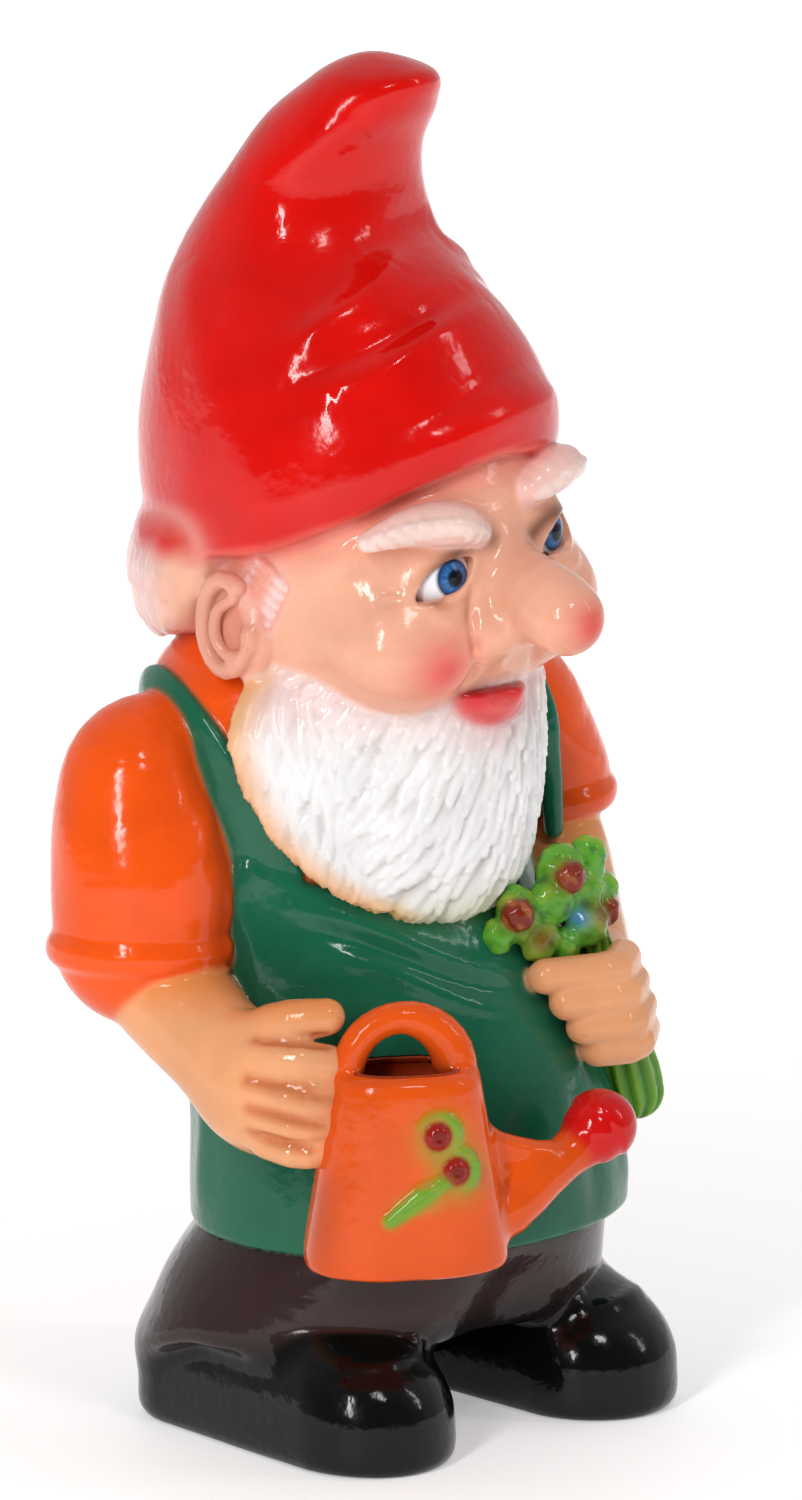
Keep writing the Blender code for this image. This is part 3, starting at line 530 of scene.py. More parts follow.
def within(p, low, high):
    return np.flatnonzero(((p > low) & (p < high)).all(1))


Shape = namedtuple("Shape", "label field low high blend carve")
OUTSIDE = 30.0
NARROW = 3.0
BLOCK = 4


class Group:
    """Fields that blend into one surface. Each has a label, which becomes a piece."""

    def __init__(self):
        self.shapes = []

    def add(self, label, made, blend=2.0, carve=False):
        field, low, high = made
        self.shapes.append(Shape(label, field, np.array(low, float), np.array(high, float), blend, carve))

    def value(self, p, margin=9.0):
        """The group's field at points."""
        f = np.full(len(p), OUTSIDE, np.float32)
        for s in self.shapes:
            i = within(p, s.low - margin, s.high + margin)
            if len(i):
                v = s.field(p[i, 0], p[i, 1], p[i, 2])
                f[i] = smooth_max(f[i], -v, s.blend) if s.carve else smooth_min(f[i], v, s.blend)
        return f

    def by_label(self, p, margin=9.0):
        """Each label's own field at points, as {label: values}."""
        found = {}
        for s in self.shapes:
            if s.carve:
                continue
            f = found.setdefault(s.label, np.full(len(p), OUTSIDE, np.float32))
            i = within(p, s.low - margin, s.high + margin)
            if len(i):
                f[i] = smooth_min(f[i], s.field(p[i, 0], p[i, 1], p[i, 2]), s.blend)
        return found

    def mesh(self, voxel):
        """(points, quads) of the surface, from samples near it."""
        low = np.min([s.low for s in self.shapes if not s.carve], 0) - 4
        high = np.max([s.high for s in self.shapes if not s.carve], 0) + 4
        size = BLOCK * voxel
        count = np.ceil((high - low) / size).astype(int)
        axes = [low[k] + (np.arange(count[k]) + 0.5) * size for k in range(3)]
        coarse = np.stack(np.meshgrid(*axes, indexing="ij"), -1).reshape(-1, 3).astype(np.float32)
        rough = self.value(coarse, 12.0).reshape(count)
        slope = np.sqrt(sum(g * g for g in np.gradient(rough, size)))
        near = np.abs(rough) < (0.87 * size + 1.2) * np.clip(slope, 1.0, 3.0)
        dense = np.where(rough < 0, -NARROW, NARROW)
        for k in range(3):
            dense = np.repeat(dense, BLOCK, k)
        dense = dense.astype(np.float32)
        offsets = np.stack(np.meshgrid(*[np.arange(BLOCK)] * 3, indexing="ij"), -1).reshape(-1, 3)
        index = (np.argwhere(near)[:, None, :] * BLOCK + offsets[None]).reshape(-1, 3)
        p = (low + (index + 0.5) * voxel).astype(np.float32)
        dense[index[:, 0], index[:, 1], index[:, 2]] = np.clip(self.value(p), -NARROW, NARROW)
        grid = openvdb.FloatGrid(background=NARROW)
        grid.copyFromArray(dense)
        points, quads = grid.convertToQuads(0.0)
        points = low + (points.astype(np.float64) + 0.5) * voxel
        return self.settle(points.astype(np.float32)), quads.astype(np.int64)

    def slope(self, p, f, e=0.25):
        g = np.empty_like(p)
        for k in range(3):
            q = p.copy()
            q[:, k] += e
            g[:, k] = (self.value(q) - f) / e
        return g

    def settle(self, p, rounds=2):
        """Moves mesh points onto the surface."""
        for _ in range(rounds):
            f = self.value(p)
            g = self.slope(p, f)
            size = np.maximum((g * g).sum(1), 0.2)
            move = -(f / size)[:, None] * g
            far = np.maximum(np.linalg.norm(move, axis=1, keepdims=True) / 0.8, 1)
            p = p + move / far
        return p


def everywhere(field, low, high):
    return field, np.array(low, float), np.array(high, float)


def trunk_group():
    g = Group()
    g.add("shirt_body", everywhere(trunk, (-60, -50, 46), (60, 62, 206)))
    g.add("trousers", everywhere(trousers, (-68, -42, 10), (66, 64, 56)), 1.2)
    g.add("sleeve_right", tube(RIGHT_SLEEVE, 26), 5)
    g.add("sleeve_left", tube(LEFT_SLEEVE, 22), 5)
    g.add("strap_left", strap(1), 0.8)
    g.add("strap_right", strap(-1), 0.8)
    g.add("apron", everywhere(apron, (-62, -54, 50), (62, 62, 152)), 0.8)
    g.add("boot_left", boot(1), 6)
    g.add("boot_right", boot(-1), 6)
    g.add(None, bore(18.0, -8, FLOOR_UNDER), 0.6, carve=True)
    g.add(None, bore(13.0, 2, 36), 0.6, carve=True)
    g.add("cuff_right", band((-67.3, 22.5, 130.6), (-68, 22, 121.4), 23.9, 23.6, 5), 1.2)
    g.add("cuff_left", band((64.3, 21.8, 149.5), (65, 21.5, 140.5), 21.6, 21.2, 5), 1.2)
    g.add("hand_right", tube(RIGHT_FOREARM, 12), 1.5)
    g.add("hand_left", tube(LEFT_FOREARM, 12), 1.5)
    g.add("hand_right", ball((-62, -19, 97), (14, 17.5, 17)), 8)
    g.add("hand_left", ball((39, -29, 106), (12.5, 11.5, 13.5)), 7)
    for points in RIGHT_FINGERS:
        g.add("hand_right", tube([(*p, FINGER) for p in points], 5), 2.2)
    g.add("hand_right", tube(RIGHT_THUMB, 5), 3)
    for points in LEFT_FINGERS:
        g.add("hand_left", tube([(*p, FINGER) for p in points], 5), 2.2)
    return g


def head_surface(forward, side, z, grow=0.0):
    shift, wide, deep = between(HEAD, z)
    return (wide + grow) * np.sqrt(max(1 - ((forward - shift) / (deep + grow)) ** 2, 0.02)) * side


def tufts():
    """Separate strands in front of and above each ear, as (forward, right, height, radius)."""
    lines = []
    for side, lift in ((1, 0.0), (-1, 4.0)):
        for k in range(5):
            line = []
            for share, radius in ((0, 0.7), (0.3, 1.4), (0.65, 1.4), (1, 0.5)):
                f, h = 0.5 + 1.2 * k + 8 * share, 215.5 + 2.4 * k - 6.0 * share + 1.4 * sin(pi * share)
                line.append((f, head_surface(f, side, h, 0.4), h + lift, radius))
            lines.append(line)
        for k in range(4):
            line = []
            for share, radius in ((0, 0.9), (0.5, 1.7), (1, 0.7)):
                f, h = -14 + 3.2 * k - 2.5 * share, 231.5 - 7.5 * share
                line.append((f, head_surface(f, side, h, 0.6), h + lift, radius))
            lines.append(line)
    return lines


def head_group():
    g = Group()
    g.add("head", everywhere(skull, (-52, -48, 184), (48, 60, 268)))
    for side in (1, -1):
        place = head_place(32.5 - 0.5 * side, 22 * side, 207 - 3.5 * side)
        g.add("head", ball(place, (18.5, 17, 16), HEAD_TURN), 9)
    g.add("head", tube(on_head(NOSE), 6), 6)
    for side in (1, -1):
        g.add("head", ball(head_place(46, 6.5 * side, 209 - 1.5 * side), (7.5, 9.5, 7), HEAD_TURN), 6)
    for name in EYES:
        middle = eye_middle(name)
        g.add("head", ball(middle, (EYEBALL + 1.3,) * 3), 5)
        g.add(None, eye_slot(name), 1.0, carve=True)
    for name, points in BROWS.items():
        g.add(name, tube(on_head(points), 8), 3)
    for name, (forward, right, height) in EARS.items():
        side = 1 if right > 0 else -1
        place = head_place(forward, right - side, height)
        g.add(name, ball(place, (5.0, 9.0, 13.5), HEAD_TURN, EAR_TILT), 3)
        rim = []
        for degrees in range(-150, 121, 30):
            a = radians(degrees)
            rim.append((forward - 1.5 - 7.4 * cos(a), right + side * 3.8, height + 1 + 11.5 * sin(a), 2.3))
        g.add(name, tube(on_head(rim), 14), 1.6)
        inner = [(1.5, 4.4, 8.0), (-3.0, 5.2, 4.5), (-3.6, 5.4, -1.5), (-0.5, 5.0, -6.0), (3.0, 4.0, -6.5)]
        fold = [(forward + f, right + side * r, height + h, 1.5) for f, r, h in inner]
        hollow = head_place(forward + 0.5, right + side * 6.0, height + 1)
        flap = head_place(forward + 5.5, right + side * 2.6, height - 1.5)
        g.add(None, ball(hollow, (3.6, 4.4, 7.0), HEAD_TURN, EAR_TILT), 2.5, carve=True)
        g.add(name, tube(on_head(fold), 10), 1.0)
        g.add(name, ball(flap, (2.2, 2.4, 3.2), HEAD_TURN), 1.5)
    for line in tufts():
        g.add("hair", tube(on_head(line), 8), 0.9)
    g.add("hair", everywhere(hair, (-68, -40, 190), (62, 76, 238)), 2)
    g.add("beard", everywhere(beard, (-48, -42, 130), (40, 42, 203)), 2)
    g.add("beard", everywhere(beard_side, (-60, -44, 130), (4, 20, 206)), 5)
    g.add("mouth", everywhere(mouth, (-24, -48, 175), (20, -18, 196)), 0.8)
    g.add(None, ball(head_place(49.5, 1.0, 190.6), (9.4, 3.8, 4.4), HEAD_TURN), 1.2, carve=True)
    g.add("hat", everywhere(hat, (-60, -56, 222), (58, 74, HAT_TOP)), 2)
    return g


# The can's blooms, as (along, height).
CAN_BLOOMS = {"can_bloom_upper": (5.5, 90.5), "can_bloom_lower": (10.0, 81.5)}


def can_group():
    g = Group()
    g.add("can_body", everywhere(can_body, (-76, -78, 52), (-12, -22, 107)))
    g.add(None, everywhere(can_mouth, (-66, -66, 99), (-20, -30, 112)), 1.0, carve=True)
    arch = []
    for a in np.linspace(0, pi, 11):
        arch.append((*can_place(-1.0 + 13.6 * cos(a), 0, 103 + 14.4 * sin(a)), 4.0 + 1.5 * max(cos(a), 0)))
    g.add("can_handle", tube(arch, 16), 1.6)
    spout = [
        (15, 0, 64, 7.6), (26, -4, 67, 7.4), (36, -9, 73, 6.2), (46, -14, 78.5, 5.4), (50, -16, 80.7, 5.2),
    ]
    g.add("can_spout", tube(on_can(spout), 8), 3)
    brace = [(17, -1, 87, 3.4), (26, -4, 82.5, 3.0), (36, -8.5, 79, 2.8)]
    web = [(16, -1, 80, 3.0), (23, -3.5, 77, 3.0), (31, -6.5, 75.5, 3.0)]
    for line in (brace, web):
        g.add("can_spout_brace", tube(on_can(line), 5), 4)
    rose = [(46, -14.0, 78.6, 5.4), (49.5, -15.8, 81.0, 7.4), (52.3, -17.2, 82.9, 9.3)]
    g.add("can_rose", tube(on_can(rose), 5), 2)
    g.add(None, ball(can_place(76, -27.5, 97), (17.5, 17.5, 17.5)), 2.0, carve=True)
    for name, (along, height) in CAN_BLOOMS.items():
        g.add(name, ball(can_place(along, 13.6, height), (3.6, 3.0, 3.6)), 0.8)
    for (along, height), first, last in zip(CAN_BLOOMS.values(), (-60, -190), (150, 80)):
        ring = []
        for a in np.radians(np.linspace(first, last, 12)):
            ring.append((along + 4.9 * cos(a), 13.2 - 0.02 * along, height + 4.9 * sin(a), 1.5))
        g.add("can_leaf", tube(on_can(ring), 20), 1.0)
    leaf = [(8, 13.6, 79.5, 2.4), (1, 14.6, 75.5, 3.0), (-6.5, 15.2, 70, 2.0)]
    g.add("can_leaf", tube(on_can(leaf), 6), 0.8)
    return g


STEMS = [
    (34, -32, 122, 4.6), (40, -31.3, 108, 5.0), (45, -31, 95, 6.6), (49, -30.5, 85, 7.6), (51.5, -30, 79, 7.2),
]
POSY_BLOOMS = {
    "posy_bloom_upper": (23, -36.5, 140),
    "posy_bloom_front": (6, -36, 133),
    "posy_bloom_side": (38, -33, 128.5),
}


def posy_group():
    g = Group()
    lumps = [
        (30, -30, 134, 8.5), (24, -32, 141, 6.5), (34, -31, 142, 5.5), (38, -30, 133, 6.0),
        (20, -33, 134, 6.5), (30, -35, 127, 6.0), (10, -32, 131, 6.5), (3, -32.5, 127.5, 4.6),
        (15, -34, 125, 5.5), (7, -33, 136, 4.2), (23, -34, 122, 5.0),
    ]
    for x, y, z, size in lumps:
        g.add("posy_leaves", ball((x, y, z), (size, size * 0.85, size)), 1.6)
    g.add("posy_stems", tube(STEMS, 8), 2)
    for name, place in POSY_BLOOMS.items():
        g.add(name, ball(place, (4.4, 3.8, 4.2)), 0.8)
    return g


# ---------------------------------------------------------------- paint

PAINT = {}
for paint, painted in (
    ((0.86, 0.090, 0.006), "shirt_body sleeve_left sleeve_right cuff_left cuff_right"),
    ((0.010, 0.125, 0.065), "apron strap_left strap_right"),
    ((0.040, 0.023, 0.022), "trousers"),
    ((0.004, 0.004, 0.004), "boot_left boot_right"),
    ((0.80, 0.36, 0.17), "hand_left hand_right"),
    ((0.80, 0.40, 0.27), "head"),
    ((0.78, 0.36, 0.25), "ear_left ear_right"),
    ((0.84, 0.62, 0.56), "eyebrow_left eyebrow_right"),
    ((0.84, 0.58, 0.54), "hair"),
    ((0.86, 0.85, 0.85), "beard"),
    ((0.66, 0.012, 0.02), "mouth"),
    ((0.64, 0.005, 0.003), "hat"),
    ((0.76, 0.090, 0.007), "can_body can_handle can_spout can_spout_brace"),
    ((0.60, 0.006, 0.006), "can_rose"),
    ((0.20, 0.008, 0.006), "can_bloom_upper can_bloom_lower"),
    ((0.16, 0.36, 0.03), "can_leaf"),
    ((0.10, 0.34, 0.03), "posy_leaves"),
    ((0.10, 0.29, 0.02), "posy_stems"),
    ((0.20, 0.02, 0.008), "posy_bloom_upper posy_bloom_front posy_bloom_side"),
    ((0.80, 0.80, 0.84), "eye_left eye_right"),
    ((0.035, 0.035, 0.038), "filler_plug"),
):
    PAINT.update(dict.fromkeys(painted.split(), paint))

# How softly a paint ends at its border: most are crisp.
CRISP = 0.55
SOFT = {"hat": 1.6, "beard": 1.2, "hair": 1.4, "boot_left": 2.0, "boot_right": 2.0}


def weights_of(fields):
    """How much of each label's paint lies on each point, with soft borders."""
    names = sorted(fields)
    stack = np.stack([fields[n] / SOFT.get(n, CRISP) for n in names])
    stack = stack - stack.min(0)
    weights = np.exp(-np.minimum(stack, 30) * 1.5)
    return names, weights / weights.sum(0)


# ---------------------------------------------------------------- meshes and pieces


def point_normals(p, quads):
    a, b, c, d = (p[quads[:, k]] for k in range(4))
    n = np.cross(c - a, d - b)
    out = np.zeros_like(p)
    for k in range(4):
        for axis in range(3):
            out[:, axis] += np.bincount(quads[:, k], n[:, axis], len(p))
    return out / np.maximum(np.linalg.norm(out, axis=1, keepdims=True), 1e-9)


SLOTS = {s["node"]: s["material_slot"] for s in frame["record"]["subparts"]}
BODY_OF = {n: body for body, names in frame["record"]["behaviour"]["bodies"].items() for n in names}


def to_row(p):
    return (p + SHIFT) * TO_METRES


def link(made):
    bpy.context.scene.collection.objects.link(made)


def add_piece(name, points, faces, normals, colours):
    """A mesh object with its own normals and paint, in place of the CAD node of that name."""
    mesh = bpy.data.meshes.new(name)
    mesh.from_pydata(points.tolist(), [], faces.tolist())
    mesh.validate()
    mesh.shade_smooth()
    if normals is not None:
        mesh.normals_split_custom_set_from_vertices(normals.astype(float).tolist())
    layer = mesh.color_attributes.new("paint", "FLOAT_COLOR", "POINT")
    layer.data.foreach_set("color", colours.astype(np.float32).ravel())
    made = bpy.data.objects.new(name, mesh)
    link(made)
    slot = SLOTS[name]
    mesh.materials.append(material(slot))
    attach(made, BODY_OF[name])
    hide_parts(name)


def shell(p, quads, normals, colours, wall=1.6):
    """A patch of surface and its inner copy, joined along the patch's border."""
    edges = np.concatenate([quads[:, [0, 1]], quads[:, [1, 2]], quads[:, [2, 3]], quads[:, [3, 0]]])
    key = np.sort(edges, 1)
    _, where, count = np.unique(key[:, 0] * len(p) + key[:, 1], return_index=True, return_counts=True)
    border = edges[where[count == 1]]
    n = len(p)
    inner = p - normals * wall
    rim = np.stack([border[:, 1], border[:, 0], border[:, 0] + n, border[:, 1] + n], 1)
    faces = np.concatenate([quads, quads[:, ::-1] + n, rim])
    return (
        np.concatenate([p, inner]),
        faces,
        np.concatenate([normals, -normals]),
        np.concatenate([colours, colours]),
    )


def islands(quads, count):
    """The patch that each quad belongs to, as the lowest point number in it."""
    parent = np.arange(count)
    for _ in range(400):
        low = parent[quads].min(1)
        new = parent.copy()
        for k in range(4):
            np.minimum.at(new, quads[:, k], low)
        new = new[new]
        if (new == parent).all():
            break
        parent = new
    return parent[quads[:, 0]]


SPECK = 90


def settle_labels(label, quads, count, second):
    """Each quad's label, with specks of a few quads given to the next best label."""
    face_label = np.sort(label[quads], 1)[:, 1]
    for i in np.unique(face_label):
        mine = np.flatnonzero(face_label == i)
        patch = islands(quads[mine], count)
        _, index, sizes = np.unique(patch, return_inverse=True, return_counts=True)
        small = sizes[index] < SPECK
        face_label[mine[small]] = second[quads[mine[small], 0]]
    return face_label


def build(group, voxel, finish):
    """Meshes a group and makes one piece from each label."""
    p, quads = group.mesh(voxel)
    names, weights = weights_of(group.by_label(p))
    colours = np.ones((len(p), 4), np.float32)
    colours[:, :3] = weights.T @ np.array([PAINT[n] for n in names], np.float32)
    normals = point_normals(p, quads)
    if (normals * group.slope(p, group.value(p))).sum() < 0:
        quads = quads[:, ::-1]
        normals = -normals
    order = np.argsort(-weights, 0)
    face_label = settle_labels(order[0], quads, len(p), order[1])
    lift = finish(p, normals, dict(zip(names, weights)), partial(mix, colours))
    p = p + normals * lift[:, None]
    normals = point_normals(p, quads)
    for i, name in enumerate(names):
        used, local = np.unique(quads[face_label == i], return_inverse=True)
        points, faces, norms, paint = shell(p[used], local.reshape(-1, 4), normals[used], colours[used])
        add_piece(name, to_row(points), faces, norms, paint)


# ---------------------------------------------------------------- materials

MATERIALS = {}


def ramp(tree, value, low, high, first, last):
    """A node that maps a value from one range to another."""
    node = tree.nodes.new("ShaderNodeMapRange")
    tree.links.new(value, node.inputs["Value"])
    for name, number in (("From Min", low), ("From Max", high), ("To Min", first), ("To Max", last)):
        node.inputs[name].default_value = number
    return node


def material(slot):
    """Gloss paint in the colours of the piece, mottled, unevenly rough and with a slight orange peel."""
    if slot in MATERIALS:
        return MATERIALS[slot]
    made = bpy.data.materials.new("paint_" + slot)
    made.use_nodes = True
    nodes, links = made.node_tree.nodes, made.node_tree.links
    shader = nodes["Principled BSDF"]
    paint = nodes.new("ShaderNodeAttribute")
    paint.attribute_name = "paint"
    place = nodes.new("ShaderNodeTexCoord")

    def noise(scale, detail=3.0, rough=0.5):
        n = nodes.new("ShaderNodeTexNoise")
        n.inputs["Scale"].default_value = scale
        n.inputs["Detail"].default_value = detail
        n.inputs["Roughness"].default_value = rough
        links.new(place.outputs["Object"], n.inputs["Vector"])
        return n.outputs["Fac"]

    def spread(value, first, last):
        return ramp(made.node_tree, value, 0.3, 0.7, first, last).outputs["Result"]

    mottle = nodes.new("ShaderNodeMix")
    mottle.data_type = "RGBA"
    mottle.blend_type = "MULTIPLY"
    mottle.inputs["Factor"].default_value = 1.0
    links.new(paint.outputs["Color"], mottle.inputs["A"])
    links.new(spread(noise(60.0, 5.0), 0.90, 1.06), mottle.inputs["B"])
    links.new(mottle.outputs["Result"], shader.inputs["Base Color"])
    links.new(spread(noise(90.0, 4.0), 0.08, 0.20), shader.inputs["Roughness"])
    peel = nodes.new("ShaderNodeBump")
    peel.inputs["Strength"].default_value = 0.25
    peel.inputs["Distance"].default_value = 0.0006
    links.new(noise(320.0, 2.0, 0.4), peel.inputs["Height"])
    links.new(peel.outputs["Normal"], shader.inputs["Normal"])
    shader.inputs["Specular IOR Level"].default_value = 0.26
    MATERIALS[slot] = made
    return made


# ---------------------------------------------------------------- strokes, locks and the airbrush


def nearest_on(path, p):
    """(distance, share along, signed side) of points from a polyline."""
    path = np.asarray(path, np.float32)
    best = np.full(len(p), 1e9, np.float32)
    share = np.zeros(len(p), np.float32)
    side = np.zeros((len(p), 3), np.float32)
    last = len(path) - 1
    for i in range(last):
        a, d = path[i], path[i + 1] - path[i]
        t = np.clip(((p - a) @ d) / max(float(d @ d), 1e-6), 0, 1)
        off = p - a - t[:, None] * d
        away = np.sqrt((off * off).sum(1))
        better = away < best
        best[better] = away[better]
        share[better] = (i + t[better]) / last
        side[better] = off[better]
    return best, share, side


def near_path(path, p, reach):
    return within(p, np.min(path, 0) - reach, np.max(path, 0) + reach)


def over_skin(path, p, normals, reach):
    """(points near a path, their distance from it over the surface, share along it)."""
    i = near_path(path, p, reach)
    away, share, off = nearest_on(path, p[i])
    flat = off - (off * normals[i]).sum(1, keepdims=True) * normals[i]
    close = away < reach
    return i[close], np.linalg.norm(flat[close], axis=1), share[close]


def strokes(lift, p, normals, lines):
    """Adds ridges, and grooves where the height is negative, for lines of (path, width, height)."""
    for path, width, height in lines:
        path = [q[:3] for q in route(path, 5 * (len(path) - 1))]
        i, away, share = over_skin(path, p, normals, max(width * 3, 7.0))
        fade = np.sin(pi * np.clip(share, 0.02, 0.98)) ** 0.5
        lift[i] += height * np.exp(-((away / width) ** 2)) * fade


def locks(p, normals, paths, width, height):
    """The lift of overlapping locks of hair, each highest near its tip and parted by sharp valleys."""
    top = np.zeros(len(p), np.float32)
    for path in paths:
        i, away, share = over_skin(path, p, normals, width + 3.0)
        wide = width * (0.35 + 0.65 * np.sin(pi * np.clip(share * 0.8 + 0.08, 0, 1)))
        rise = np.clip(1 - (away / wide) ** 2, 0, 1) * (0.2 + 0.8 * share)
        top[i] = np.maximum(top[i], rise)
    return (height * top).astype(float)


def mix(colours, paint, amount):
    """Airbrushes a colour over the paint."""
    amount = np.clip(amount, 0, 1)[:, None]
    colours[:, :3] = colours[:, :3] * (1 - amount) + np.array(paint) * amount


def spot(p, centre, radii):
    """1 at a place, fading to 0 at the given distances."""
    away = (((p - np.array(centre)) / np.array(radii)) ** 2).sum(1)
    return np.exp(-away * 1.6)


def ripple(p, size, seed):
    """Smooth unevenness between -1 and 1, from a few crossing waves."""
    rng = np.random.default_rng(seed)
    total = np.zeros(len(p))
    for _ in range(6):
        direction = rng.normal(size=3)
        direction /= np.linalg.norm(direction)
        total += np.sin(p @ direction * (2 * pi / size) * rng.uniform(0.6, 1.5) + rng.uniform(0, 6.3))
    return total / 6


def beard_point(turn, z, grow=0.0):
    cx, cy, wide, deep = between(BEARD, z)
    return np.array([cx + (wide + grow) * sin(turn), cy - (deep + grow) * cos(turn), z])


BEARD_FOOT = 132.0
LOCK_STEP = 3.0


def beard_locks():
    """Locks that part below the mouth: outwards on the gnome's right, nearly straight down on its left."""
    rng = np.random.default_rng(7)
    paths = []
    for z in np.arange(206.0, 134.0, -4.2):
        gap = 3.6 / max(between(BEARD, min(z, 202))[2], 12)
        for turn in np.arange(-1.75, 1.75, gap):
            a, h = turn + rng.uniform(-0.4, 0.4) * gap, z + rng.uniform(-2, 2)
            lean = -0.42 + 0.55 * np.tanh(a * 1.3) - 0.25 * np.exp(-(((h - 150) / 14) ** 2)) * (a < 0.5)
            lean += rng.uniform(-0.12, 0.12)
            bend = rng.uniform(-0.35, 0.15)
            path = []
            for i in range(7):
                path.append(beard_point(a, max(h, BEARD_FOOT), 0.3))
                wide = between(BEARD, max(h, BEARD_FOOT))[2]
                angle = lean + bend * i / 6
                a += sin(angle) * LOCK_STEP / max(wide, 10)
                h -= cos(angle) * LOCK_STEP
            paths.append(np.array(path, np.float32))
    # The locks that lie on the chest, at turns in degrees.
    for z in np.arange(200.0, 142.0, -4.0):
        for turn in np.arange(-68.0, -22.0, 3.8):
            a, h = turn + rng.uniform(-1.5, 1.5), z + rng.uniform(-2, 2)
            if -a > beard_edge(h) + 3:
                continue
            angle, bend = -0.75 + rng.uniform(-0.15, 0.15) + 0.004 * (h - 170), rng.uniform(0.1, 0.9)
            path = []
            for i in range(8):
                path.append(body_point(radians(a), h, 6.3))
                a += sin(angle + bend * i / 5) * LOCK_STEP
                h -= cos(angle + bend * i / 5) * LOCK_STEP
            paths.append(np.array(path, np.float32))
    return paths


FLESH, ROSY, BLUSH = (0.78, 0.41, 0.28), (0.76, 0.22, 0.17), (0.76, 0.085, 0.075)
NOSE_RED, EAR_RED = (0.74, 0.085, 0.07), (0.72, 0.16, 0.11)
HAT_RED, HAT_PINK = (0.66, 0.012, 0.008), (0.80, 0.16, 0.13)
HAIR_PINK, STRAND_EDGE, STRAND_TOP = (0.80, 0.44, 0.42), (0.76, 0.24, 0.20), (0.86, 0.60, 0.57)
LID_LINE_AND_SHADE_BROWN, CREASE_SHADE_BROWN = (0.10, 0.028, 0.010), (0.30, 0.075, 0.03)
BEARD_SHADE, BEARD_PINK, CHIN_PINK = (0.42, 0.36, 0.34), (0.83, 0.55, 0.52), (0.80, 0.50, 0.47)
BEARD_RUST, BEARD_GREEN, BROW_PINK = (0.84, 0.38, 0.09), (0.50, 0.55, 0.16), (0.82, 0.42, 0.36)
LIP_PINK, LIP_DARK = (0.74, 0.15, 0.13), (0.34, 0.008, 0.012)


